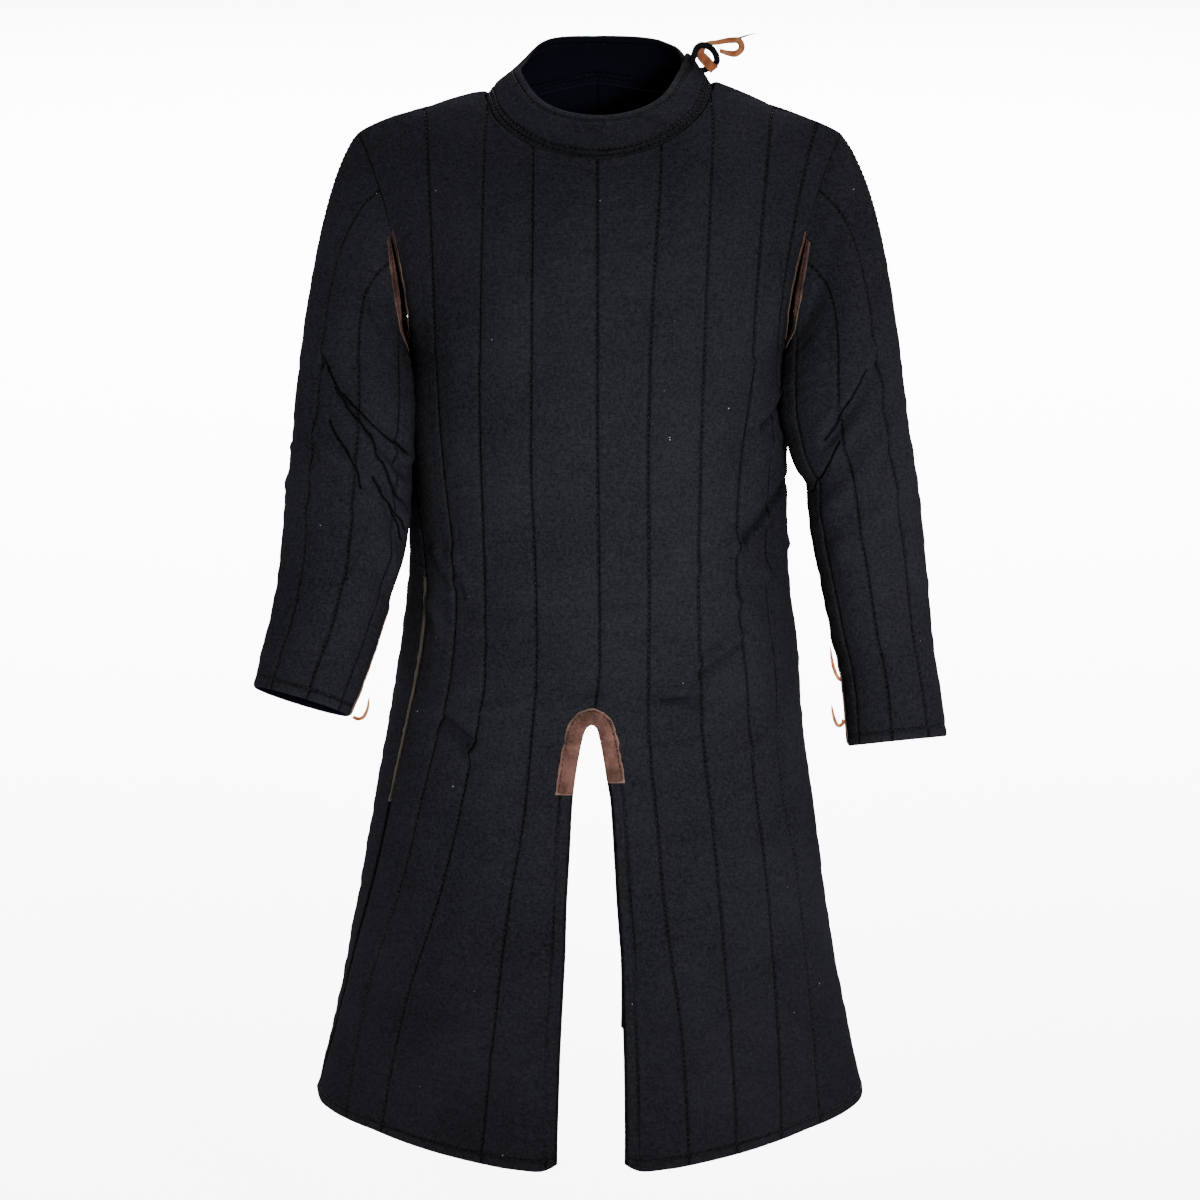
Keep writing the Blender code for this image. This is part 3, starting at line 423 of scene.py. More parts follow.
CUFF_LACE_TAPER = [(0, 1.25, 1), (0.5, 1.15, 1), (0.85, 0.8, 0.9), (1, 0.3, 0.6)]
CUFF_LACES = {
    "cuff_thong_right": [
        (-0.2393, -0.1047, -0.6020),
        (-0.2355, -0.1044, -0.6040),
        (-0.2310, -0.1065, -0.6030),
        (-0.2268, -0.1095, -0.5975),
        (-0.2240, -0.1120, -0.5890),
        (-0.2230, -0.1130, -0.5800),
    ],
    "cuff_thong_left_upper": [
        (0.2408, -0.0826, -0.5706),
        (0.2380, -0.0868, -0.5682),
        (0.2340, -0.0915, -0.5605),
        (0.2312, -0.0950, -0.5515),
        (0.2295, -0.0970, -0.5420),
        (0.2285, -0.0972, -0.5330),
    ],
    "cuff_thong_left_lower": [
        (0.2424, -0.0965, -0.6077),
        (0.2418, -0.0990, -0.6096),
        (0.2393, -0.1020, -0.6115),
        (0.2365, -0.1045, -0.6108),
        (0.2343, -0.1058, -0.6075),
        (0.2325, -0.1063, -0.6025),
        (0.2310, -0.1060, -0.5960),
        (0.2299, -0.1050, -0.5899),
    ],
}
for name, route in CUFF_LACES.items():
    lace(name, route, 0.003, 0.0022, CUFF_LACE_TAPER, (0, -1, 0.2))


# The front and the back are each one piece of black cotton over wadding over a plain inner layer, quilted
# right through in upright rows about 50 mm apart. They are cut to flare below the waist, and each is slit
# up the middle from the hem, with its free edges turned in and topstitched.
RIGHT, LEFT, FRONT, BACK = -1, 1, -1, 1
CROWN, STITCHED = 0.006, 0.003
HEM, UNDERARM, SLIT_TOP, SIDE_SLIT_TOP = -1.033, -0.250, -0.597, -0.465
UPPER_ROWS, FINE = 12, 5
CHANNEL, SEAM_BLEND = 3 * FINE, 6
ROUNDED_EDGE, SLIT_EDGE = 0.0014, 0.0007
HEM_INSET, SLIT_INSET = 0.010, 0.012
NECK_CENTRE_Y, NECK_FRONT, NECK_BACK, NECK_DROP, NECK_DIP = -0.005, 0.101, 0.083, 0.052, 0.010
NECK_SIDE = {RIGHT: 0.110, LEFT: 0.115}
NECK_SIDE_HEIGHT = {RIGHT: 0.000, LEFT: 0.009}
SHOULDER_X = {RIGHT: 0.234, LEFT: 0.239}
SHOULDER_HEIGHT = {RIGHT: -0.039, LEFT: -0.040}
SHOULDER_CURVE = {RIGHT: 1.25, LEFT: 1.0}


def table(names, rows):
    """The named columns of a short table as arrays."""
    return {name: np.array(column) for name, column in zip(names.split(), zip(*rows))}


BODY = table(
    "height half_width front_depth back_depth centre_x squareness",
    [
        (-1.033, 0.2840, 0.212, 0.200, -0.0075, 1.65),
        (-0.935, 0.2605, 0.190, 0.180, -0.006, 1.85),
        (-0.826, 0.2400, 0.173, 0.163, -0.005, 2.05),
        (-0.720, 0.2235, 0.162, 0.149, -0.003, 2.20),
        (-0.614, 0.2070, 0.152, 0.136, -0.001, 2.25),
        (-0.560, 0.2010, 0.147, 0.128, 0.002, 2.25),
        (-0.510, 0.1935, 0.142, 0.120, 0.002, 2.25),
        (-0.400, 0.1885, 0.134, 0.106, 0.001, 2.25),
        (-0.320, 0.1885, 0.133, 0.107, 0.000, 2.25),
        (-0.250, 0.1870, 0.134, 0.112, 0.000, 2.25),
    ],
)
SLIT = table(
    "height half_width shift",
    [
        (-1.033, 0.0362, 0.0015),
        (-0.923, 0.0330, 0.0010),
        (-0.880, 0.0310, 0.0010),
        (-0.826, 0.0286, 0.0012),
        (-0.777, 0.0260, -0.0010),
        (-0.726, 0.0230, -0.0020),
        (-0.674, 0.0200, -0.0030),
        (-0.648, 0.0162, -0.0040),
        (-0.622, 0.0118, -0.0045),
        (-0.610, 0.0092, -0.0050),
        (-0.602, 0.0068, -0.0050),
        (-0.597, 0.0000, -0.0050),
        (-0.540, 0.0000, 0.0000),
    ],
)
HEM_LINE = table(
    "distance lower",
    [(0, 0.006), (0.09, 0.006), (0.17, 0.002), (0.25, -0.003), (0.33, -0.002), (0.39, 0.000)],
)
FRONT_ROWS = {
    RIGHT: table(
        "height line_1 line_2 line_3 side_seam",
        [
            (-1.033, 0.113, 0.236, 0.290, 0.372),
            (-0.900, 0.098, 0.203, 0.262, 0.318),
            (-0.780, 0.084, 0.160, 0.211, 0.262),
            (-0.680, 0.069, 0.135, 0.183, 0.232),
            (-0.580, 0.063, 0.117, 0.158, 0.206),
            (-0.470, 0.062, 0.115, 0.149, 0.193),
            (-0.360, 0.065, 0.117, 0.162, 0.225),
            (-0.250, 0.064, 0.118, 0.172, 0.256),
        ],
    ),
    LEFT: table(
        "height line_1 line_2 line_3 line_4 side_seam",
        [
            (-1.033, 0.103, 0.157, 0.212, 0.268, 0.385),
            (-0.900, 0.090, 0.143, 0.200, 0.250, 0.352),
            (-0.780, 0.071, 0.129, 0.186, 0.232, 0.324),
            (-0.680, 0.060, 0.116, 0.169, 0.207, 0.304),
            (-0.580, 0.049, 0.103, 0.156, 0.198, 0.288),
            (-0.470, 0.049, 0.099, 0.143, 0.184, 0.272),
            (-0.360, 0.049, 0.102, 0.147, 0.192, 0.262),
            (-0.250, 0.051, 0.106, 0.168, 0.212, 0.256),
        ],
    ),
}
BACK_TOPS = [0, 0.167, 0.333, 0.5, 0.62, 0.74, 0.86, 1.0, 1.165, 1.33, 1.443, 1.557, 1.67, 1.78, 1.89, 2.0]
TOPS = {
    (FRONT, RIGHT): [0, 0.127, 0.253, 0.38, 0.54, 0.70, 0.86, 1.0, 1.24, 1.48, 1.653, 1.827, 2.0],
    (FRONT, LEFT): [
        *(0, 0.12, 0.24, 0.36, 0.527, 0.693, 0.86, 1.0, 1.24, 1.48),
        *(1.587, 1.693, 1.8, 1.867, 1.933, 2.0),
    ],
    (BACK, RIGHT): BACK_TOPS,
    (BACK, LEFT): BACK_TOPS,
}
RISE_NAMES = "top start_x start_out start_z end_x end_in end_z"
RISE = {
    FRONT: table(
        RISE_NAMES,
        [
            (0.00, 0.00, 0.00, 0.20, 0.00, 0.06, 0.160),
            (0.40, 0.00, 0.01, 0.20, 0.00, 0.10, 0.140),
            (0.70, 0.00, 0.02, 0.21, 0.00, 0.15, 0.105),
            (0.86, 0.00, 0.02, 0.22, 0.00, 0.19, 0.095),
            (1.00, 0.00, 0.02, 0.22, 0.00, 0.24, 0.100),
            (1.24, 0.00, 0.02, 0.21, 0.00, 0.21, 0.060),
            (1.50, 0.00, 0.03, 0.20, 0.00, 0.19, 0.030),
            (2.00, -0.04, 0.28, 0.06, 0.08, 0.14, 0.150),
        ],
    ),
    BACK: table(
        RISE_NAMES,
        [
            (0.00, 0.00, 0.00, 0.20, 0.00, 0.06, 0.140),
            (0.50, 0.00, 0.01, 0.20, 0.00, 0.12, 0.080),
            (0.86, 0.00, 0.02, 0.22, 0.00, 0.18, 0.060),
            (1.00, 0.00, 0.02, 0.22, 0.00, 0.22, 0.070),
            (1.50, 0.00, 0.03, 0.20, 0.00, 0.18, 0.020),
            (2.00, -0.04, 0.28, 0.06, 0.08, 0.14, 0.150),
        ],
    ),
}
HEIGHTS = np.concatenate(
    [
        np.linspace(HEM, -0.998, 12)[:-1],
        np.linspace(-0.998, -0.640, 72)[:-1],
        np.linspace(-0.640, SLIT_TOP, 20)[:-1],
        np.linspace(SLIT_TOP, -0.585, 6)[:-1],
        np.linspace(-0.585, UNDERARM, 68),
    ]
)
LOWER = len(HEIGHTS)
SLIT_ROW = int(np.argmin(np.abs(HEIGHTS - SLIT_TOP)))
FOLDS_OF_FRONT = table(
    "x_from z_from x_to z_to rise half_width",
    [
        (0.011, -0.470, 0.044, -0.470, 0.0012, 0.0050),
        (0.009, -0.488, 0.041, -0.488, 0.0014, 0.0055),
        (0.008, -0.479, 0.040, -0.479, -0.0012, 0.0040),
        (0.008, -0.515, 0.044, -0.527, 0.0014, 0.0060),
        (0.056, -0.566, 0.095, -0.568, 0.0018, 0.0050),
        (0.053, -0.572, 0.101, -0.578, -0.0022, 0.0040),
        (0.053, -0.622, 0.101, -0.624, 0.0014, 0.0060),
        (0.149, -0.633, 0.174, -0.616, 0.0020, 0.0070),
        (-0.020, -0.575, 0.003, -0.573, 0.0022, 0.0060),
        (0.003, -0.573, 0.042, -0.589, 0.0026, 0.0060),
        (0.101, -0.448, 0.136, -0.427, 0.0026, 0.0070),
        (0.137, -0.434, 0.179, -0.394, 0.0030, 0.0060),
        (0.143, -0.425, 0.186, -0.384, -0.0030, 0.0045),
        (0.143, -0.484, 0.164, -0.459, 0.0022, 0.0060),
        (0.165, -0.466, 0.185, -0.445, 0.0026, 0.0055),
        (0.101, -0.543, 0.139, -0.519, 0.0028, 0.0060),
        (0.101, -0.552, 0.139, -0.529, -0.0020, 0.0045),
        (0.101, -0.505, 0.140, -0.488, 0.0016, 0.0060),
        (0.161, -0.305, 0.184, -0.283, 0.0028, 0.0060),
        (0.163, -0.317, 0.186, -0.296, -0.0024, 0.0045),
        (0.160, -0.345, 0.185, -0.330, 0.0018, 0.0060),
        (-0.142, -0.441, -0.121, -0.475, 0.0022, 0.0060),
        (-0.158, -0.440, -0.141, -0.467, 0.0022, 0.0055),
        (-0.150, -0.614, -0.122, -0.633, 0.0026, 0.0055),
        (-0.122, -0.630, -0.101, -0.651, 0.0026, 0.0060),
        (-0.152, -0.602, -0.124, -0.621, -0.0018, 0.0045),
        (-0.164, -0.492, -0.155, -0.516, 0.0022, 0.0060),
        (-0.118, -0.500, -0.070, -0.508, 0.0012, 0.0060),
        (-0.118, -0.540, -0.066, -0.545, 0.0012, 0.0070),
        (-0.118, -0.590, -0.080, -0.582, 0.0014, 0.0060),
        (-0.112, -0.930, -0.070, -0.940, 0.0016, 0.0080),
        (-0.150, -0.905, -0.120, -0.915, 0.0014, 0.0080),
        (0.060, -0.720, 0.110, -0.712, 0.0012, 0.0080),
        (0.066, -0.820, 0.100, -0.830, 0.0010, 0.0090),
        (0.120, -0.905, 0.165, -0.890, 0.0012, 0.0080),
        (0.110, -0.690, 0.150, -0.675, 0.0014, 0.0070),
    ],
)
FOLDS_OF_BACK = table(
    "x_from z_from x_to z_to rise half_width",
    [
        (-0.035, -0.455, 0.030, -0.462, 0.0016, 0.0060),
        (-0.030, -0.490, 0.038, -0.484, 0.0018, 0.0060),
        (0.008, -0.520, 0.060, -0.532, 0.0014, 0.0060),
        (-0.070, -0.512, -0.020, -0.505, 0.0014, 0.0060),
        (0.060, -0.440, 0.120, -0.415, 0.0024, 0.0070),
        (0.080, -0.475, 0.150, -0.440, 0.0022, 0.0060),
        (-0.060, -0.442, -0.122, -0.420, 0.0022, 0.0065),
        (-0.090, -0.482, -0.155, -0.452, 0.0024, 0.0060),
        (-0.150, -0.300, -0.180, -0.275, 0.0026, 0.0060),
        (0.150, -0.310, 0.182, -0.283, 0.0026, 0.0060),
        (-0.020, -0.573, 0.004, -0.570, 0.0020, 0.0060),
        (0.004, -0.570, 0.044, -0.586, 0.0022, 0.0060),
        (-0.090, -0.930, -0.045, -0.940, 0.0014, 0.0080),
        (0.070, -0.760, 0.130, -0.750, 0.0014, 0.0080),
        (0.050, -0.060, 0.130, -0.085, 0.0016, 0.0100),
        (-0.050, -0.065, -0.125, -0.090, 0.0016, 0.0100),
    ],
)


def section(height, side):
    """Half of the body's outline at a height, from just past the centre front to the centre back.

    A superellipse: x is half_width * sin(a)^(2/n) and y is depth * cos(a)^(2/n), with the front's
    depth for the first quarter turn and the back's for the second. Lengths count from the front.
    """
    half, front, back, centre, squareness = (
        smooth(BODY["height"], BODY[name], height)
        for name in ("half_width", "front_depth", "back_depth", "centre_x", "squareness")
    )
    turn = np.concatenate([np.linspace(-0.4, 0, 24)[:-1], np.linspace(0, math.pi, 361)])
    depth = np.where(turn < math.pi / 2, front, back)
    sine = np.sin(turn)
    sine[-1] = 0
    x = centre + side * half * np.sign(sine) * np.abs(sine) ** (2 / squareness)
    y = -depth * np.sign(np.cos(turn)) * np.abs(np.cos(turn)) ** (2 / squareness)
    length = along(np.stack([x, y], axis=-1))
    return x, y, length - length[turn == 0]


def spread(stops, steps):
    """The stops with this many columns to each space between them."""
    at = np.arange((len(stops) - 1) * steps + 1) / steps
    return np.interp(at, np.arange(len(stops)), stops)


def slit_half(height):
    """Half the width of the slit: its square runs straight between the rows, which rounds its top."""
    return np.sqrt(np.interp(height, SLIT["height"], SLIT["half_width"] ** 2))


def distances(height, side, face):
    """Distance along the cloth from the centre front of each fine column at a height."""
    rows = FRONT_ROWS[side]
    gap = 0.002 * float(np.clip((SIDE_SLIT_TOP - height) / 0.01, 0, 1))
    seam = smooth(rows["height"], rows["side_seam"], height)
    if face == FRONT:
        lines = [smooth(rows["height"], rows[n], height) for n in rows if n.startswith("line")]
        edge = slit_half(height) + side * np.interp(height, SLIT["height"], SLIT["shift"])
        return spread(np.array([edge, *lines, seam - gap]), CHANNEL)
    whole = section(height, side)[2][-1]
    even = np.linspace(whole, seam + gap, len(BACK_TOPS) // 3 + 1)
    even[0] = whole - slit_half(height)
    return spread(even, CHANNEL)


def top_edge(top, side, face):
    """Points of the neckline (top from 0 to 1) and of the shoulder seam (1 to 2)."""
    turn = np.minimum(top, 1) * math.pi / 2
    out = np.maximum(top - 1, 0)
    x = NECK_SIDE[side] * np.sin(turn) + (SHOULDER_X[side] - NECK_SIDE[side]) * out
    reach = NECK_FRONT if face == FRONT else NECK_BACK
    y = NECK_CENTRE_Y * (1 - out) + face * reach * np.cos(turn).clip(0)
    lift = NECK_SIDE_HEIGHT[side] * np.sin(turn) ** 2
    if face == FRONT:
        drop = NECK_DROP * np.cos(turn).clip(0) ** 1.15
    else:
        drop = NECK_DIP * np.sin(2 * turn).clip(0) ** 1.6
    fall = NECK_SIDE_HEIGHT[side] - SHOULDER_HEIGHT[side]
    return np.stack([side * x, y, lift - drop - fall * out ** SHOULDER_CURVE[side]], axis=-1)


def half_panel(side, face):
    """Points of one half of the front or back, by rows from the hem to the top edge."""
    lower = []
    for height in HEIGHTS:
        x, y, length = section(height, side)
        at = distances(height, side, face)
        lower.append(np.stack([np.interp(at, length, x), np.interp(at, length, y), 0 * at + height], axis=-1))
    coarse = np.array(TOPS[face, side])
    index = np.arange((len(coarse) - 1) * FINE + 1) / FINE
    tops = smooth(np.arange(len(coarse)), coarse, index)
    start_x, start_out, start_z, end_x, end_in, end_z = (
        smooth(np.arange(len(coarse)), np.interp(coarse, RISE[face]["top"], RISE[face][name]), index)
        for name in RISE_NAMES.split()[1:]
    )
    start = np.stack([side * start_x, face * start_out, start_z], axis=-1)
    end = np.stack([side * end_x, -face * end_in, end_z], axis=-1)
    t = (np.arange(1, UPPER_ROWS * FINE + 1) / (UPPER_ROWS * FINE))[:, None, None]
    upper = hermite(lower[-1], start, top_edge(tops, side, face), end, t)
    points = np.concatenate([np.array(lower), upper])
    from_slit = distances(HEM, side, face)
    if face == BACK:
        from_slit = section(HEM, side)[2][-1] - from_slit
    lower_by = np.interp(from_slit, HEM_LINE["distance"], HEM_LINE["lower"])
    from_side = np.abs(from_slit - from_slit[-1])
    from_front = np.abs(from_slit - from_slit[0])
    corner = (1 - np.minimum(from_side, from_front) / 0.022).clip(0) ** 2 * 0.010
    near_hem = ((HEM + 0.10 - HEIGHTS) / 0.10).clip(0)[:, None]
    points[:LOWER, :, 2] += corner * near_hem**4 - lower_by * near_hem**2
    return points, tops


def eased(points, corner):
    """The rows above the underarm with the crease below the neck's corner spread out: near that column
    each point moves a part of the way to the mean of its neighbours in the row, many times over."""
    near = np.exp(-(((np.arange(points.shape[1]) - corner) / 11) ** 2))[1:-1, None]
    below = (np.arange(UPPER_ROWS * FINE)[::-1] / 9).clip(0, 1)[:, None, None]
    for _ in range(110):
        upper = points[LOWER:]
        upper[:, 1:-1] += 0.5 * near * below * ((upper[:, :-2] + upper[:, 2:]) / 2 - upper[:, 1:-1])
    return points


def facing_out(points, face):
    """Unit normals of a grid of points, out of the garment."""
    normals = unit(np.cross(np.gradient(points, axis=0), np.gradient(points, axis=1)))
    middle = normals[LOWER // 2, normals.shape[1] // 3]
    return normals * np.sign(middle[1] * face)


def ridges(folds, x, z):
    """How far soft folds lift the cloth: a bell across each straight line from one end to the other."""
    lifted = np.zeros_like(x)
    place = np.stack([x, z], axis=-1)
    for x0, z0, x1, z1, rise, half in zip(*folds.values()):
        start, way = np.array([x0, z0]), np.array([x1 - x0, z1 - z0])
        share = ((place - start) @ way) / (way @ way)
        nearest = start + np.clip(share, 0, 1)[..., None] * way
        away = np.linalg.norm(place - nearest, axis=-1) / half
        lifted += rise * np.exp(-(away**2))
    return lifted


def hollows(folds, x, z):
    """From 0 to 1, how deep in a crease the cloth lies: only the sharp folds that sink it count."""
    sunk = (folds["rise"] < 0) & (folds["half_width"] < 0.0048)
    return (-ridges({name: values[sunk] for name, values in folds.items()}, x, z) / 0.0030).clip(0, 1) ** 1.6


def ripple(seed, at, *waves):
    """Uneven waves along a line: sines of near lengths about each (length, height), at random phases."""
    random = np.random.default_rng(seed)
    total = np.zeros_like(at)
    for length, height in waves:
        for stretch in (0.73, 1.0, 1.31, 1.77):
            phase = random.uniform(0, 2 * math.pi)
            total += height / 2 * np.sin(2 * math.pi * at / (length * stretch) + phase)
    return total


def channel_swell(points, steps, seed):
    """Height of the cloth over its stitches: each channel rounds up from both its rows of quilting.

    Across a channel it is sin(pi * share)^0.6, and along it uneven ripples swell and pinch it, most of
    all beside the stitches.
    """
    columns = points.shape[1]
    share = np.arange(columns) % steps / steps
    swell = np.tile(np.sin(math.pi * share) ** 0.6, (len(points), 1))
    run = along(points[:, columns // 2])
    channel = np.minimum(np.arange(columns) // steps, (columns - 1) // steps - 1)
    lengths, seams = range(channel.max() + 1), range(channel.max() + 2)
    middle = np.stack([ripple(seed + k, run, (0.11, 0.16), (0.027, 0.15)) for k in lengths])
    pinch = np.stack([ripple(seed + 50 + k, run, (0.019, 0.17), (0.009, 0.05)) for k in seams])
    row = np.round(np.arange(columns) / steps).astype(int)
    beside = np.sin(math.pi * share) ** 0.8 * np.exp(-np.minimum(share, 1 - share) / 0.14)
    return swell * (1 + middle[channel].T) + (pinch[row] * beside[:, None]).T * 1.6


def from_edge(distance, inset):
    """Share of the full swell near a free edge: a low band, a row of topstitches, then the padding."""
    band = 0.35 * np.sin(math.pi * np.clip(distance / inset, 0, 1)) ** 0.6
    return np.where(distance < inset, band, 1 - np.exp(-(distance - inset).clip(0) / 0.009))


def cloth_weave(place, line=0.0):
    """Black cotton: a plain weave with slubs, faint mottling from dust and wear, and specks of lint.

    Beside the stitches, whose distance the mesh holds, the cloth dips into a narrow groove darkened with
    painted shade, and it is sunk and darkened with painted shade where the mesh marks a crease or where
    line nears 1.
    """
    slubs = place.noise(900, 2, 0.6, (1, 1, 0.25)) * 0.5 + place.noise(900, 2, 0.6, (0.25, 0.25, 1)) * 0.5
    fuzz = place.noise(330, 3, 0.7)
    mottle = place.noise(9, 3)
    off, creased = place.marked("from stitches"), place.marked("creased") + line
    groove = 1 - off.ramp(0.0, 0.0032)
    pucker = place.noise(150, 2, 0.5, (0.5, 0.5, 1)) * (1 - off.ramp(0.0, 0.012))
    wrinkle = place.noise(62, 3, 0.55, (0.28, 0.28, 1)) * place.noise(11, 1).ramp(0.30, 0.75)
    # The grooves beside the stitches darken the cloth's colour as painted shade, as well as sinking its bump.
    shade = (slubs * 1.1 + fuzz * 0.7 + mottle * 0.35 - groove * groove * 0.2).ramp(0.72, 1.38)
    base = shade.blend(colour(0.0010, 0.0010, 0.0013), colour(0.0072, 0.0073, 0.0088))
    spots = place.node("ShaderNodeTexVoronoi", {"Vector": place, "Scale": 75.0, "Randomness": 1.0})
    chosen = place.noise(37, 1).ramp(0.64, 0.66)
    inside = place.marked("inside")
    lint = (1 - inside) * (1 - spots.ramp(0.035, 0.055)) * chosen
    weave = place.node("ShaderNodeBump", {"Strength": 0.8, "Distance": 0.0008, "Height": slubs + fuzz * 0.6})
    height = pucker + wrinkle * 2.2 - groove * groove - creased
    sockets = {"Strength": 1.0, "Distance": 0.0026, "Height": height, "Normal": weave}
    bump = place.node("ShaderNodeBump", sockets)
    # Creases, from the mesh's mark and from line, are darkened in colour as painted shade.
    shaded = (creased * 0.8).blend(base, colour(0.0004, 0.0004, 0.0006))
    lined = inside.blend(shaded, colour(0.0019, 0.0020, 0.0036))
    return {"Base Color": (lint * 0.8).blend(lined, colour(0.12, 0.12, 0.13)), "Normal": bump}


CLOTH = material("black cotton", 0.92, cloth_weave, Specular_IOR_Level=0.0)


def nearest_row(points, steps):
    """Distance along each row of points to the nearest of the columns at whole numbers of steps."""
    run = running(points, 1)
    return np.abs(run[:, :, None] - run[:, None, ::steps]).min(-1)


def rim_of(faces):
    """Directed edges that only one face has, as an array of pairs."""
    starts, ends = faces.reshape(-1), np.roll(faces, -1, axis=1).reshape(-1)
    big = faces.max() + 1
    alone = ~np.isin(starts * big + ends, ends * big + starts)
    return np.stack([starts[alone], ends[alone]], axis=-1)


def add_wall(name, outer, inner, faces, finish, bulge, marks):
    """A closed wall between two like surfaces in place of the CAD piece of this name, its rim rounded
    outwards by bulge. The mesh holds the values in marks, and which of its points are on the inner side."""
    used, same = np.unique(faces, return_inverse=True)
    faces = same.reshape(faces.shape)
    bulge = np.broadcast_to(bulge, len(outer))[used]
    outer, inner = outer[used], inner[used]
    rim = rim_of(faces)
    n = len(outer)
    out = np.zeros_like(outer)
    way = np.cross(outer[rim[:, 1]] - outer[rim[:, 0]], outer[rim[:, 0]] - inner[rim[:, 0]])
    np.add.at(out, rim[:, 0], unit(way))
    np.add.at(out, rim[:, 1], unit(way))
    middle = (outer + inner) / 2 + unit(out) * bulge[:, None]
    edge = np.unique(rim)
    place = np.zeros(n, int)
    place[edge] = np.arange(len(edge)) + 2 * n
    a, b = rim[:, 0], rim[:, 1]
    closing = [
        np.stack([b, a, place[a], place[b]], axis=-1),
        np.stack([place[b], place[a], a + n, b + n], axis=-1),
    ]
    points = np.concatenate([outer, inner, middle[edge]])
    piece = add_mesh(name, points, np.concatenate([faces, faces[:, ::-1] + n, *closing]), finish)
    held = {"inside": np.repeat([0.0, 1.0, 0.0], [n, n, len(edge)])}
    for word, values in marks.items():
        values = values.reshape(-1)[used]
        held[word] = np.concatenate([values, values, values[edge]])
    for word, values in held.items():
        piece.data.attributes.new(word, "FLOAT", "POINT").data.foreach_set("value", values.astype(np.float32))
    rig.replaces(piece, name)
    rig.slot(piece, name)
    return piece


def padded_sides(points, out, swell, raised):
    """The outer and the inner side of the cloth: swell fills it from its stitched thickness to its full
    one, and a fold lifts the outer side more than the inner one."""
    sunk = (CROWN - STITCHED) * (1 - swell) - raised
    return points - out * sunk[..., None], points - out * (CROWN - raised * 0.6)[..., None]


def area_of(points):
    """Area of a grid of points."""
    a, b, c, d = points[:-1, :-1], points[:-1, 1:], points[1:, 1:], points[1:, :-1]
    return float(np.linalg.norm(np.cross(c - a, d - b), axis=-1).sum() / 2)


halves = {}
for face in (FRONT, BACK):
    for side in (RIGHT, LEFT):
        points, tops = half_panel(side, face)
        points = eased(points, FINE * TOPS[face, side].index(1.0))
        halves[face, side] = {"points": points, "tops": tops, "out": facing_out(points, face)}

for side in (RIGHT, LEFT):
    front, back = halves[FRONT, side], halves[BACK, side]
    square = [SHOULDER_X[side] - NECK_SIDE[side], NECK_SIDE_HEIGHT[side] - SHOULDER_HEIGHT[side]]
    for half in (front, back):
        share = (half["tops"] - 1).clip(0)
        fall = square[1] / square[0] * SHOULDER_CURVE[side] * share ** (SHOULDER_CURVE[side] - 1)
        level = unit(np.stack([side * fall, 0 * fall, np.ones_like(fall)], axis=-1))
        half["out"][-1] = np.where((half["tops"] >= 0.999)[:, None], level, half["out"][-1])
        for step in range(1, SEAM_BLEND):
            share = step / SEAM_BLEND
            mixed = half["out"][-1] * (1 - share) + half["out"][-1 - step] * share
            on_seam = (half["tops"] >= 0.999)[:, None]
            half["out"][-1 - step] = np.where(on_seam, unit(mixed), half["out"][-1 - step])
    shared = unit(front["out"][:, -1] + back["out"][:, -1])
    front["out"][:, -1] = shared
    back["out"][:, -1] = shared
for face in (FRONT, BACK):
    shared = unit(halves[face, RIGHT]["out"][:, 0] + halves[face, LEFT]["out"][:, 0])
    for side in (RIGHT, LEFT):
        halves[face, side]["out"][SLIT_ROW:, 0] = shared[SLIT_ROW:]

for (face, side), half in halves.items():
    points, out = half["points"], half["out"]
    swell = channel_swell(points, CHANNEL, 100 * (2 + face) + 10 * (2 + side))
    up, across = running(points, 0), running(points, 1)
    low = from_edge(up, HEM_INSET)
    slit_fade = 1 / (1 + np.exp((HEIGHTS - SLIT_TOP - 0.004) / 0.002))[:, None]
    beside_slit = from_edge(across[:LOWER], SLIT_INSET)
    low[:LOWER] = low[:LOWER] * (1 - slit_fade * (1 - beside_slit))
    if (face, side) != (FRONT, RIGHT):
        fade = np.linspace(0, 1, UPPER_ROWS * FINE + 1)
        last = slice(-1 - 6 * FINE, None)
        bump = np.sin(math.pi * np.linspace(0, 1, 6 * FINE + 1)) ** 0.6
        swell[-len(fade) :, last] += (bump - swell[-len(fade) :, last]) * fade[:, None]
    folds = FOLDS_OF_FRONT if face == FRONT else FOLDS_OF_BACK
    raised = ridges(folds, points[..., 0], points[..., 2])
    keep = np.ones(points.shape[:2])
    keep[:, -1] = 0
    keep[-1] = 0
    raised = raised * keep * 2.0
    # The crease mask sinks the cloth's bump and darkens its colour as painted shade.
    creased = hollows(folds, points[..., 0], points[..., 2]) * keep * 0.7
    outer, inner = padded_sides(points, out, swell * low, raised)
    stitched = np.minimum(nearest_row(points, CHANNEL), np.abs(up - HEM_INSET))
    stitched[:SLIT_ROW] = np.minimum(stitched[:SLIT_ROW], np.abs(across[:SLIT_ROW] - SLIT_INSET))
    half.update(outer=outer, inner=inner, across=across, up=up, stitched=stitched, creased=creased)

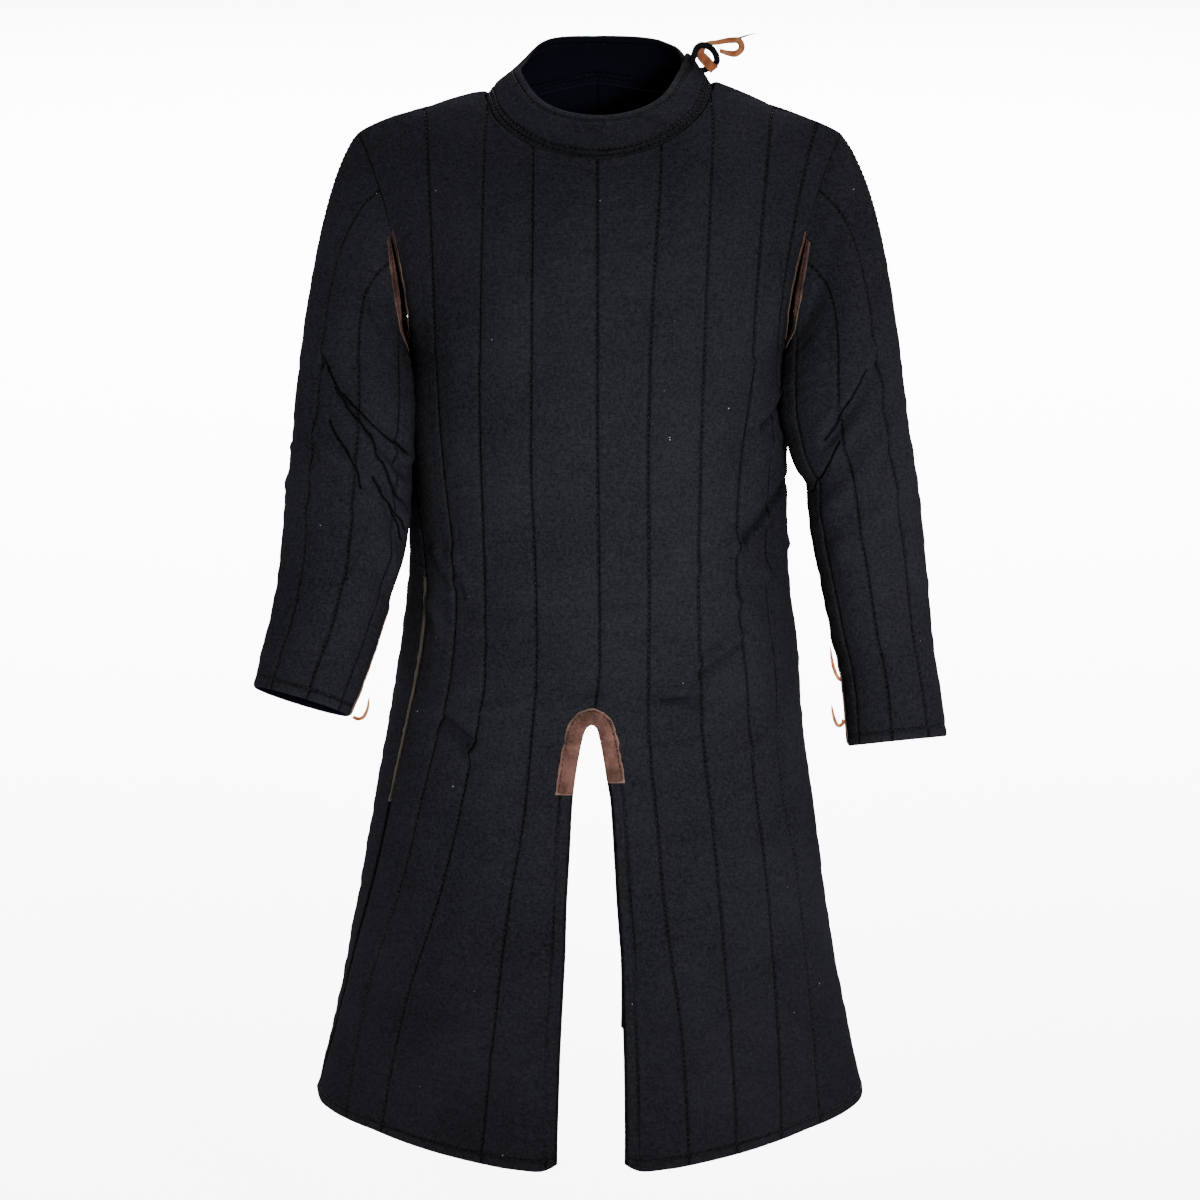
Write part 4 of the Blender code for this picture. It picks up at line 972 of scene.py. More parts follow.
for face, word in ((FRONT, "front"), (BACK, "back")):
    right, left = halves[face, RIGHT], halves[face, LEFT]
    grids = {}
    for key in ("outer", "inner", "stitched", "creased"):
        grids[key] = np.concatenate([right[key][:, ::-1], left[key]], axis=1)
    rows, columns = grids["outer"].shape[:2]
    middle = right["outer"].shape[1]
    index = np.arange(rows * columns).reshape(rows, columns)
    index[SLIT_ROW:, middle] = index[SLIT_ROW:, middle - 1]
    faces = np.delete(corners(index), middle - 1, axis=1).reshape(-1, 4)
    if face == BACK:
        faces = faces[:, ::-1]
    free = np.zeros((rows, columns))
    free[0] = ROUNDED_EDGE
    free[:SLIT_ROW, middle - 1 : middle + 1] = ROUNDED_EDGE
    free[: int(np.searchsorted(HEIGHTS, SIDE_SLIT_TOP)), [0, -1]] = SLIT_EDGE
    walls = (grids["outer"].reshape(-1, 3), grids["inner"].reshape(-1, 3))
    marks = {"from stitches": grids["stitched"], "creased": grids["creased"]}
    piece = add_wall(word, *walls, faces, CLOTH, free.reshape(-1), marks)
    area = area_of(right["points"]) + area_of(left["points"])
    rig.padded(piece, fill=0.35)
    print(word, "cloth area", round(area, 3), "m2")


# The sleeves are one quilted piece each, closed along a seam behind the inner side, with eight rows of
# quilting, a bend at the elbow that bunches the cloth, and a short slit at the cuff. They are sewn to the
# body over the shoulder and left open under the arm.
SLEEVE_TURN, SEWN_FROM, SLEEVE_CLEARANCE = math.radians(10), 7, 0.0035
CUFF_SLIT, CUFF_SLIT_WIDTH = 0.105, 0.004
SLEEVE_COLUMNS = 2 * UPPER_ROWS * FINE
CAP_ROWS, RING_ROWS, CUFF_INSET = 32, 104, 0.009
SLEEVES = {
    LEFT: [
        (0.2440, -0.042, -0.306, 0.0600, 0.063),
        (0.2475, -0.045, -0.332, 0.0600, 0.063),
        (0.2575, -0.048, -0.367, 0.0555, 0.062),
        (0.2620, -0.051, -0.404, 0.0562, 0.061),
        (0.2695, -0.057, -0.451, 0.0550, 0.059),
        (0.2765, -0.065, -0.498, 0.0518, 0.056),
        (0.2845, -0.072, -0.545, 0.0487, 0.052),
        (0.2915, -0.087, -0.590, 0.0490, 0.050),
        (0.2955, -0.098, -0.627, 0.0518, 0.050),
    ],
    RIGHT: [
        (-0.2395, -0.044, -0.306, 0.0565, 0.063),
        (-0.2415, -0.048, -0.334, 0.0575, 0.063),
        (-0.2440, -0.053, -0.362, 0.0585, 0.063),
        (-0.2470, -0.061, -0.400, 0.0600, 0.063),
        (-0.2505, -0.071, -0.444, 0.0600, 0.061),
        (-0.2600, -0.081, -0.488, 0.0565, 0.058),
        (-0.2730, -0.091, -0.534, 0.0542, 0.055),
        (-0.2890, -0.110, -0.584, 0.0525, 0.053),
    ],
}
UNDERARM_SWELL = {
    RIGHT: ((0, 0.35, 0.55), (0.0065, 0.0055, 0)),
    LEFT: ((0, 0.06, 0.16), (0.0065, 0.0030, 0)),
}
SHOULDER_LEAVING = {RIGHT: (0.38, -0.40), LEFT: (0.50, -0.60)}
ELBOW_NAMES = "turn_from fall_from turn_to fall_to rise half_width"
ELBOW_FOLDS = {
    RIGHT: table(
        ELBOW_NAMES,
        [
            (150, 0.02, 20, 0.36, 0.0050, 0.010),
            (155, 0.14, 25, 0.50, 0.0055, 0.010),
            (160, 0.27, 40, 0.62, 0.0045, 0.011),
            (250, 0.20, 330, 0.30, 0.0040, 0.010),
        ],
    ),
    LEFT: table(
        ELBOW_NAMES,
        [
            (150, 0.04, 45, 0.28, 0.0040, 0.010),
            (160, 0.16, 55, 0.40, 0.0045, 0.011),
            (300, 0.10, 230, 0.24, 0.0040, 0.010),
        ],
    ),
}
SLEEVE_NAMES = "x_from z_from x_to z_to rise half_width"
SHARP_FOLD = 0.0040
SLEEVE_FOLDS = {
    RIGHT: table(
        SLEEVE_NAMES,
        [
            (-0.266, -0.240, -0.182, -0.353, 0.0030, 0.0055),
            (-0.264, -0.251, -0.185, -0.362, -0.0045, 0.0050),
            (-0.261, -0.262, -0.190, -0.372, 0.0028, 0.0050),
            (-0.250, -0.260, -0.183, -0.341, -0.0030, 0.0045),
            (-0.224, -0.031, -0.202, -0.120, -0.0030, 0.0110),
            (-0.241, -0.108, -0.201, -0.195, -0.0030, 0.0100),
            (-0.262, -0.330, -0.205, -0.405, 0.0022, 0.0070),
            (-0.285, -0.300, -0.262, -0.340, 0.0024, 0.0080),
            (-0.266, -0.246, -0.246, -0.281, -0.0026, 0.0034),
            (-0.246, -0.281, -0.184, -0.343, -0.0034, 0.0036),
            (-0.252, -0.274, -0.218, -0.323, -0.0026, 0.0034),
            (-0.218, -0.323, -0.198, -0.377, -0.0030, 0.0034),
            (-0.198, -0.377, -0.184, -0.398, -0.0030, 0.0034),
            (-0.258, -0.306, -0.243, -0.332, -0.0020, 0.0034),
            (-0.243, -0.332, -0.227, -0.369, -0.0020, 0.0034),
            (-0.215, -0.360, -0.186, -0.419, -0.0028, 0.0034),
            (-0.202, -0.386, -0.191, -0.428, -0.0026, 0.0034),
            (-0.234, -0.144, -0.210, -0.217, -0.0018, 0.0050),
            (-0.222, -0.188, -0.201, -0.232, -0.0016, 0.0055),
        ],
    ),
    LEFT: table(
        SLEEVE_NAMES,
        [
            (0.267, -0.240, 0.215, -0.314, 0.0028, 0.0060),
            (0.272, -0.254, 0.222, -0.328, -0.0038, 0.0050),
            (0.281, -0.269, 0.225, -0.342, 0.0028, 0.0060),
            (0.233, -0.132, 0.196, -0.234, -0.0030, 0.0090),
            (0.246, -0.084, 0.277, -0.234, -0.0024, 0.0100),
            (0.285, -0.310, 0.240, -0.372, 0.0018, 0.0080),
            (0.261, -0.259, 0.221, -0.326, -0.0022, 0.0036),
            (0.235, -0.326, 0.208, -0.385, -0.0018, 0.0040),
            (0.272, -0.218, 0.234, -0.286, -0.0018, 0.0050),
        ],
    ),
}


def elbow_lift(side, turn, fall, length):
    """How far the bunched folds lift the sleeve: a bell across straight lines on the unrolled cloth."""
    folds = ELBOW_FOLDS[side]
    scale = 0.058
    lines = {
        "a": np.radians(folds["turn_from"]) * scale,
        "b": folds["fall_from"] * length,
        "c": np.radians(folds["turn_to"]) * scale,
        "d": folds["fall_to"] * length,
        "rise": folds["rise"],
        "half": folds["half_width"],
    }
    turn, fall = np.broadcast_arrays(turn * scale, fall * length)
    return ridges(lines, turn, fall)


def creased_weave(place):
    """The same cotton with sharp creases: lines along the narrowest folds as they are seen from the front,
    and on the sleeve's back along those of the other sleeve, sunk and darkened with painted shade."""
    faces_back = place.marked("faces back")
    behind = faces_back.ramp(-0.01, 0.01)
    x, z = (place.node("ShaderNodeSeparateXYZ", (place,), out=k) for k in (0, 2))
    x = x * (1 - 2 * behind) + place.noise(38, 1) * 0.010 - 0.005
    z = z + behind * 0.012
    line = 0.0
    for folds in SLEEVE_FOLDS.values():
        for x0, z0, x1, z1, _, half in zip(*folds.values()):
            if half > SHARP_FOLD:
                continue
            across, down = x1 - x0, z1 - z0
            share = ((x - x0) * across + (z - z0) * down).ramp(0.0, across**2 + down**2)
            aside, above = x - x0 - share * across, z - z0 - share * down
            away = (aside * aside + above * above) ** 0.5
            # Each line is sunk in the bump and darkened in colour as painted shade by cloth_weave.
            line = x.maths("MAXIMUM", line, (1 - away.ramp(0.0000, 0.0022)) ** 1.7)
    turned = faces_back.maths("ABSOLUTE", faces_back).ramp(0.15, 0.45)
    return cloth_weave(place, line * turned)


SLEEVE_CLOTH = material("creased black cotton", 0.92, creased_weave, Specular_IOR_Level=0.0)


def sleeve_points(side):
    """Points of a sleeve by rows from the armhole to the cuff, and the share of each ring's way down.

    The cap runs from the armhole to the first ring on cubic curves, and below it each ring is an
    ellipse square to the sleeve's axis, opened by the cuff's slit.
    """
    rows = np.array(SLEEVES[side])
    run = along(rows[:, :3])
    length = run[-1]
    shares = np.linspace(0, 1, RING_ROWS)
    at = shares * length
    middle = smooth(run, rows[:, :3], at)
    wide, deep = smooth(run, rows[:, 3:], at).T
    axis = unit(np.gradient(middle, at, axis=0))
    outward = unit(np.array([side, 0, 0]) - axis * (axis @ np.array([side, 0, 0]))[:, None])
    backward = unit(np.cross(outward, axis) * side)
    turns = np.tile(np.linspace(0, 2 * math.pi, SLEEVE_COLUMNS + 1) - SLEEVE_TURN, (len(at), 1))
    down_slit = np.sqrt(np.clip((at - (length - CUFF_SLIT)) / 0.008, 0, 1))
    turns[:, 0] += down_slit * CUFF_SLIT_WIDTH / 2 / wide
    turns[:, -1] -= down_slit * CUFF_SLIT_WIDTH / 2 / wide
    lifted = 0.7 * elbow_lift(side, turns % (2 * math.pi), shares[:, None], length)
    pressed = np.interp(shares, *UNDERARM_SWELL[side])[:, None] * np.cos(turns).clip(0) ** 2
    lifted = lifted + pressed
    rings = (
        middle[:, None]
        - outward[:, None] * ((wide[:, None] + lifted) * np.cos(turns))[..., None]
        - backward[:, None] * ((deep[:, None] + lifted) * np.sin(turns))[..., None]
    )
    front = halves[FRONT, side]["points"][LOWER - 1 :, -1]
    back = halves[BACK, side]["points"][LOWER - 1 :, -1]
    armhole = np.concatenate([front, back[-2::-1]])
    around = np.linspace(0, 2 * math.pi, SLEEVE_COLUMNS + 1)
    half_way = SLEEVE_COLUMNS // 2
    low = np.abs((np.arange(SLEEVE_COLUMNS + 1) + half_way) % SLEEVE_COLUMNS - half_way) / FINE
    parted = np.where(low < SEWN_FROM, np.cos(np.clip(low / SEWN_FROM, 0, 1) * math.pi / 2) ** 0.7, 0)
    armhole = armhole + parted[:, None] * np.array([side * SLEEVE_CLEARANCE, 0, -0.004])
    shoulder = np.array([side * SHOULDER_LEAVING[side][0], 0, SHOULDER_LEAVING[side][1]])
    beside = np.array([side * 0.85, 0.25, -0.50])
    turned = np.stack([np.ones_like(around), -np.sign(np.sin(around)), np.ones_like(around)], axis=-1)
    c = np.cos(around)[:, None]
    leaving = np.array([-side * 0.55, 0, -0.83]) * c.clip(0) ** 2
    leaving = leaving + shoulder * (-c).clip(0) ** 2 + beside * turned * (1 - c**2)
    far = np.linalg.norm(rings[0] - armhole, axis=1)[:, None]
    t = (np.arange(CAP_ROWS) / CAP_ROWS)[:, None, None]
    cap = hermite(armhole, leaving * far, rings[0], axis[0] * far, t)
    return np.concatenate([cap, rings]), low


sleeves = {}
for side, word in ((RIGHT, "right"), (LEFT, "left")):
    points, low = sleeve_points(side)
    overlapped = np.concatenate([points[:, -2:-1], points, points[:, 1:2]], axis=1)
    out = unit(np.cross(np.gradient(overlapped, axis=0), np.gradient(overlapped, axis=1)))[:, 1:-1]
    outermost = out[len(out) // 2, SLEEVE_COLUMNS // 2]
    out = out * np.sign(outermost[0] * side)
    front, back = (halves[face, side]["out"][LOWER - 1 :, -1] for face in (FRONT, BACK))
    body = np.concatenate([front, back[-2::-1]])
    sewn = (low >= SEWN_FROM)[:, None]
    out[0] = np.where(sewn, body, out[0])
    for row in range(1, SEAM_BLEND):
        share = row / SEAM_BLEND
        out[row] = np.where(sewn, unit(body * (1 - share) + out[row] * share), out[row])
    swell = channel_swell(points, CHANNEL, 700 + 40 * side)
    down = np.cumsum(np.linalg.norm(np.diff(points, axis=0), axis=-1)[::-1], 0)[::-1]
    from_cuff = np.concatenate([down, np.zeros((1, points.shape[1]))])
    swell = swell * from_edge(from_cuff, CUFF_INSET)
    seam = running(points, 0)
    swell = swell * (1 - np.exp(-seam / 0.006))
    front_facing = np.clip(0.35 - out[..., 1] * 1.2, 0, 1)
    back_facing = np.clip(out[..., 1] * 1.2 - 0.1, 0, 1)
    soft = {}
    for which, folds in SLEEVE_FOLDS.items():
        eased_rise = folds["rise"] * np.where(folds["half_width"] > SHARP_FOLD, 1, 0.6)
        soft[which] = {**folds, "rise": eased_rise, "half_width": folds["half_width"].clip(0.0048)}
    raised = ridges(soft[side], points[..., 0], points[..., 2]) * front_facing
    mirrored = ridges(soft[-side], -points[..., 0], points[..., 2] + 0.012) * back_facing
    raised = 1.25 * (raised + 0.8 * mirrored) * (1 - np.exp(-seam / 0.02)) * (1 - np.exp(-from_cuff / 0.02))
    outer, inner = padded_sides(points, out, swell, raised)
    rows, columns = points.shape[:2]
    index = np.arange(rows * columns).reshape(rows, columns)
    length = along(np.array(SLEEVES[side])[:, :3])[-1]
    slit_row = rows - 1 - int(round(CUFF_SLIT / length * (RING_ROWS - 1)))
    index[: slit_row + 1, -1] = index[: slit_row + 1, 0]
    faces = corners(index).reshape(-1, 4)
    if side == LEFT:
        faces = faces[:, ::-1]
    free = np.zeros((rows, columns))
    free[-1] = ROUNDED_EDGE
    free[0, low < SEWN_FROM] = 0.0010
    name = "sleeve_" + word
    stitched = np.minimum(nearest_row(points, CHANNEL), np.abs(from_cuff - CUFF_INSET))
    walls = (outer.reshape(-1, 3), inner.reshape(-1, 3))
    marks = {"from stitches": stitched, "faces back": out[..., 1]}
    piece = add_wall(name, *walls, faces, SLEEVE_CLOTH, free.reshape(-1), marks)
    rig.padded(piece, fill=0.35)
    sleeves[side] = {"outer": outer, "inner": inner, "out": out, "up": from_cuff, "slit_row": slit_row}
    print(name, "cloth area", round(area_of(points), 3), "m2")


# The collar is a stand band of the same cotton, two layers over thin wadding. It starts inside at the
# wearer's left, goes right round the neck and laps over its own start, and is topstitched twice along the
# seam and once below its top edge.
COLLAR_WALL, COLLAR_EDGE, COLLAR_LAP, COLLAR_INSET, COLLAR_BELLY = 0.005, 0.0035, 0.0008, 0.0008, 0.002
COLLAR_FROM, COLLAR_TO, COLLAR_LAPPED, COLLAR_ROWS = 62.4, 462.6, 106, 30
COLLAR_TOP = np.array(
    [
        (0, 0.003, -0.078, -0.014),
        (22, 0.033, -0.070, -0.011),
        (45, 0.059, -0.051, -0.002),
        (78, 0.079, -0.012, 0.018),
        (105, 0.089, 0.012, 0.037),
        (135, 0.064, 0.048, 0.043),
        (180, 0.003, 0.066, 0.045),
        (225, -0.056, 0.050, 0.041),
        (252, -0.072, 0.020, 0.027),
        (290, -0.074, -0.020, 0.017),
        (315, -0.056, -0.056, -0.001),
        (338, -0.030, -0.070, -0.011),
    ]
)


def neckline():
    """Turn in degrees from the front round the wearer's left, base point and normal of the neckline."""
    parts = []
    quarters = ((FRONT, LEFT, 0, 1), (BACK, LEFT, 180, -1), (BACK, RIGHT, 180, 1), (FRONT, RIGHT, 360, -1))
    for face, side, start, way in quarters:
        half = halves[face, side]
        on_neck = half["tops"] < 0.9999
        turn = start + way * 90 * half["tops"][on_neck]
        parts.append(np.column_stack([turn, half["points"][-1, on_neck], half["out"][-1, on_neck]]))
    ring = np.concatenate(parts)
    ring = ring[np.unique(np.round(ring[:, 0], 3), return_index=True)[1]]
    ring = ring[ring[:, 0] < 359.9]
    return np.concatenate([np.column_stack([ring[:, :1] + whole, ring[:, 1:]]) for whole in (0, 360)])


ring = neckline()
turns = np.linspace(COLLAR_FROM, COLLAR_TO, 300)
base, cloth_out = (
    np.stack([np.interp(turns, ring[:, 0], ring[:, k]) for k in columns], axis=-1)
    for columns in ((1, 2, 3), (4, 5, 6))
)
forward = unit(np.gradient(base, axis=0))
inward = np.cross(cloth_out, forward)
to_centre = (np.array([0, NECK_CENTRE_Y, 0]) - base) * [1, 1, 0]
inward = unit(inward) * np.sign(np.sum(inward * to_centre, axis=-1))[:, None]
low_edge = base - unit(cloth_out) * COLLAR_EDGE + inward * COLLAR_INSET
tiled = np.concatenate([COLLAR_TOP + [whole, 0, 0, 0] for whole in (-360, 0, 360)])
high_edge = smooth(tiled[:, 0], tiled[:, 1:], turns)
share = np.linspace(0, 1, COLLAR_ROWS)[:, None, None]
points = low_edge + (high_edge - low_edge) * share
outward = unit(np.cross(np.gradient(points, axis=1), np.gradient(points, axis=0)))
points = points + outward * COLLAR_BELLY * np.sin(math.pi * share)
tucked = ((COLLAR_LAPPED + 30 - turns) / 30).clip(0, 1)
points = points - outward * ((COLLAR_WALL + COLLAR_LAP) * tucked)[None, :, None]
up = running(points, 0)
down = up[-1] - up
COLLAR_STITCHES = ((up, 0.0045), (up, 0.0095), (down, 0.0070))
stitched = np.min([np.abs(way - place) for way, place in COLLAR_STITCHES], axis=0)
sunk = np.exp(-((stitched / 0.0013) ** 2))
swell = np.sin(math.pi * share[..., 0]) ** 0.5 * (1 - 0.75 * sunk)
around_neck = along(points[COLLAR_ROWS // 2])
slant = around_neck + up * 0.9
buckle = ripple(31, slant, (0.05, 0.0007), (0.022, 0.0003)) * np.sin(math.pi * share[..., 0])
plump = (COLLAR_WALL - COLLAR_EDGE) * (swell - 1)
outer = points + outward * (plump + buckle)[..., None]
inner = points - outward * (COLLAR_WALL - buckle * 0.5 - 0.0006 * sunk)[..., None]
free = np.zeros(points.shape[:2])
free[-1] = 0.0015
free[:, [0, -1]] = 0.0008
walls = (outer.reshape(-1, 3), inner.reshape(-1, 3))
faces = quads(*points.shape[:2])
piece = add_wall("collar", *walls, faces, CLOTH, free.reshape(-1), {"from stitches": stitched})
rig.padded(piece, fill=0.3)
collar = {"outer": outer, "inner": inner, "out": outward}

# A loop of black cord is sewn to the collar's outer end, and the leather lace is tied through it.
LOOP_ROUTE = [
    (0.0904, 0.0000, 0.0279),
    (0.0925, -0.0007, 0.0302),
    (0.0944, 0.0013, 0.0350),
    (0.0962, 0.0045, 0.0395),
    (0.1005, 0.0065, 0.0428),
    (0.1085, 0.0078, 0.0412),
    (0.1145, 0.0062, 0.0352),
    (0.1165, 0.0085, 0.0285),
    (0.1135, 0.0150, 0.0225),
    (0.1075, 0.0175, 0.0188),
    (0.1022, 0.0155, 0.0170),
    (0.1012, 0.0111, 0.0167),
]
lace("collar_loop", LOOP_ROUTE, 0.0062, 0.0062, [(0, 1, 1), (1, 1, 1)], (0, -1, 0.2), CLOTH, far_end="object")


# The leather trim is brown suede about a millimetre thick, folded over the free edges and sewn down: a U
# round the top of the front and the back slit, strips along the edges of the openings under the arms and
# of the side slits, and a facing round each cuff's slit. Its cut edges are paler and a little frayed.
SUEDE_THICK, SUEDE_LIFT = 0.0012, 0.0002
PATCH_WIDTH = 0.0158
ARMPIT_STRIP, SIDE_STRIP, SIDE_STRIP_LENGTH, CUFF_PATCH = 0.008, 0.0016, 0.237, 0.014


def suede(place):
    """Brown suede: cloudy, darker where it has been handled, with a short nap and a paler cut edge."""
    cloud = place.noise(60, 4, 0.6)
    nap = place.noise(900, 3, 0.7)
    stain = place.noise(26, 2).ramp(0.50, 0.66)
    shade = (cloud * 0.6 + nap * 0.4).ramp(0.34, 0.66)
    base = shade.blend(colour(0.0045, 0.0020, 0.0015), colour(0.060, 0.0285, 0.0225))
    edge = place.marked("from edge")
    sewn = 1 - edge.maths("ABSOLUTE", edge - 0.0026).ramp(0.0003, 0.0009)
    holes = sewn * place.noise(420, 1).ramp(0.46, 0.56)
    dark = (stain * 0.55).blend(base, colour(0.0045, 0.0028, 0.0014))
    dark = (holes * 0.8).blend(dark, colour(0.0035, 0.0010, 0.0006))
    raw = (1 - (edge + nap * 0.0008).ramp(0.0005, 0.0014)) * 0.5
    bump = place.node("ShaderNodeBump", {"Strength": 0.7, "Distance": 0.0008, "Height": nap + cloud})
    return {"Base Color": raw.blend(dark, colour(0.085, 0.060, 0.046)), "Normal": bump}


def shaded_suede(place):
    """The same suede darkened with painted shade, as the strips under the arms are, which lie in the shadow between
    sleeve and body.
    """
    made = suede(place)
    # This noise sets how deep the painted shade of the armpit strips is.
    worn = place.noise(45, 3).ramp(0.15, 0.95)
    return {**made, "Base Color": worn.blend(colour(0.0040, 0.0020, 0.0016), made["Base Color"])}


SUEDE = material("brown suede", 0.9, suede, Specular_IOR_Level=0.05)
SHADED_SUEDE = material("shaded suede", 0.9, shaded_suede, Specular_IOR_Level=0.05)


def dull_leather(place):
    """Thin smooth leather, grey-brown with dirt."""
    base = place.noise(90, 3).blend(colour(0.0055, 0.0042, 0.0030), colour(0.0170, 0.0130, 0.0095))
    grain = place.noise(900, 2)
    bump = place.node("ShaderNodeBump", {"Strength": 0.4, "Distance": 0.0004, "Height": grain})
    return {"Base Color": base, "Normal": bump}


DULL_LEATHER = material("dull leather", 0.8, dull_leather, Specular_IOR_Level=0.1)


def inset(lines, ways, outs):
    """Points and normals at these distances from the start of each line."""
    found = np.empty((len(lines), len(ways), 6))
    for k, (line, out) in enumerate(zip(lines, outs)):
        run = along(line)
        values = np.concatenate([line, out], axis=-1)
        found[k] = np.stack([np.interp(ways, run, values[:, i]) for i in range(6)], axis=-1)
    return found[..., :3], unit(found[..., 3:])


def wrapped(outer, inner, out):
    """Lines that start on the inner wall, turn round the free edge and run over the outer wall."""
    off = unit(outer[:, 0] - outer[:, 1])
    lines = np.concatenate([inner[:, 2:0:-1], inner[:, :1], outer], axis=1)
    turned = np.stack([unit(off - out[:, 0]), unit(off + out[:, 0])], axis=1)
    outs = np.concatenate([-out[:, 2:0:-1], turned, out[:, 1:]], axis=1)
    return lines, outs


def binding(name, outer, inner, out, width, finish):
    """A strip of leather folded over an edge: each line of outer and inner runs inwards from the edge.

    Returns the line of its stitches and their normals.
    """
    lines, outs = wrapped(outer, inner, out)
    before = np.linalg.norm(np.diff(lines[:, :4], axis=1), axis=-1).sum(1).mean()
    ways = np.concatenate([np.linspace(0, before, 9)[:-1], before + np.linspace(0, width, 12)])
    low, up = inset(lines, ways, outs)
    worn = ripple(len(name) + len(lines), along(low[:, -1]), (0.02, 0.0004), (0.007, 0.0003))
    low[:, -1] += unit(low[:, -1] - low[:, -2]) * worn[:, None]
    thick = np.full(low.shape[:2], SUEDE_THICK)
    thick[:, [0, -1]] *= 0.55
    thick[[0, -1]] *= 0.55
    seam = np.argmin(np.abs(ways - before - width + 0.0026))
    thick[:, seam] *= 0.62
    faces = quads(*low.shape[:2])
    top, bottom = low + up * (SUEDE_LIFT + thick)[..., None], low + up * SUEDE_LIFT
    a, b, c = top[1, 6], top[1, 7], top[2, 6]
    if np.cross(c - a, b - a) @ up[1, 6] > 0:
        faces = faces[:, ::-1]
    run = along(low[:, -1])
    distance = np.minimum(ways[-1] - ways, np.minimum(run, run[-1] - run)[:, None])
    add_wall(name, top.reshape(-1, 3), bottom.reshape(-1, 3), faces, finish, 0.0002, {"from edge": distance})
    return top[:, seam], up[:, seam]


def on_cloth(parts, heights, across, height):
    """Outer point, inner point and normal at places across metres left of a slit's middle line."""
    found = np.empty(across.shape + (9,))
    for side in (RIGHT, LEFT):
        part = parts[side]
        mine = (across >= 0) == (side == LEFT)
        a, h = np.abs(across[mine]), height[mine]
        row = np.clip(np.searchsorted(heights, h, side="right") - 1, 0, len(heights) - 2)
        lift = ((h - heights[row]) / (heights[row + 1] - heights[row]))[:, None]
        places = part["from_middle"][row] * (1 - lift) + part["from_middle"][row + 1] * lift
        column = np.clip((places <= a[:, None]).sum(1) - 1, 0, places.shape[1] - 2)
        k = np.arange(len(a))
        share = ((a - places[k, column]) / (places[k, column + 1] - places[k, column])).clip(0, 1)[:, None]
        values = np.concatenate([part["outer"], part["inner"], part["out"]], axis=-1)
        low = values[row, column] * (1 - share) + values[row, column + 1] * share
        high = values[row + 1, column] * (1 - share) + values[row + 1, column + 1] * share
        found[mine] = low * (1 - lift) + high * lift
    return found[..., :3], found[..., 3:6], unit(found[..., 6:])


def slit_patch(name, parts, heights, top, half_width, legs, width):
    """A U of suede round the top of a slit, whose half width at a height half_width gives. Its right and
    left legs reach down as far as legs says, and its outer border waves a little."""
    way = np.linspace(1, 0, 34)
    right, left = (top - drop * way**2 for drop in legs)
    line = np.concatenate(
        [np.column_stack([-half_width(right), right]), np.column_stack([half_width(left), left])[-2::-1]]
    )
    ahead = unit(np.gradient(line, axis=0))
    off = np.stack([-ahead[:, 1], ahead[:, 0]], axis=-1)
    for _ in range(6):
        off[1:-1] = unit(off[:-2] + off[1:-1] + off[2:])
    off[[0, -1]] = [[-1, 0], [1, 0]]
    reach = width * 1.05 * (1 - 0.06 * np.sin(np.linspace(0, 9, len(line))))
    places = line[:, None] + off[:, None] * (np.linspace(0, 1, 14)[None, :, None] * reach[:, None, None])
    found = on_cloth(parts, heights, places[..., 0].ravel(), places[..., 1].ravel())
    return binding(name, *(values.reshape(places.shape[:2] + (3,)) for values in found), width, SUEDE)


seams = {}
for (face, side), half in halves.items():
    at = np.array([distances(height, side, face) for height in HEIGHTS])
    if face == FRONT:
        middle = side * np.interp(HEIGHTS, SLIT["height"], SLIT["shift"])
    else:
        middle = np.array([section(height, side)[2][-1] for height in HEIGHTS])
    half["from_middle"] = np.abs(at - middle[:, None])

SLIT_PATCHES = ((FRONT, "front_slit_patch", (0.070, 0.058)), (BACK, "back_slit_patch", (0.068, 0.070)))
for face, name, legs in SLIT_PATCHES:
    parts = {side: halves[face, side] for side in (RIGHT, LEFT)}
    seams[name] = slit_patch(name, parts, HEIGHTS, SLIT_TOP, slit_half, legs, PATCH_WIDTH)


def cuff_slit_half(up):
    """Half the width of a cuff's slit at a height above the cuff's edge."""
    return CUFF_SLIT_WIDTH / 2 * np.sqrt(np.clip((CUFF_SLIT - up) / 0.008, 0, 1))


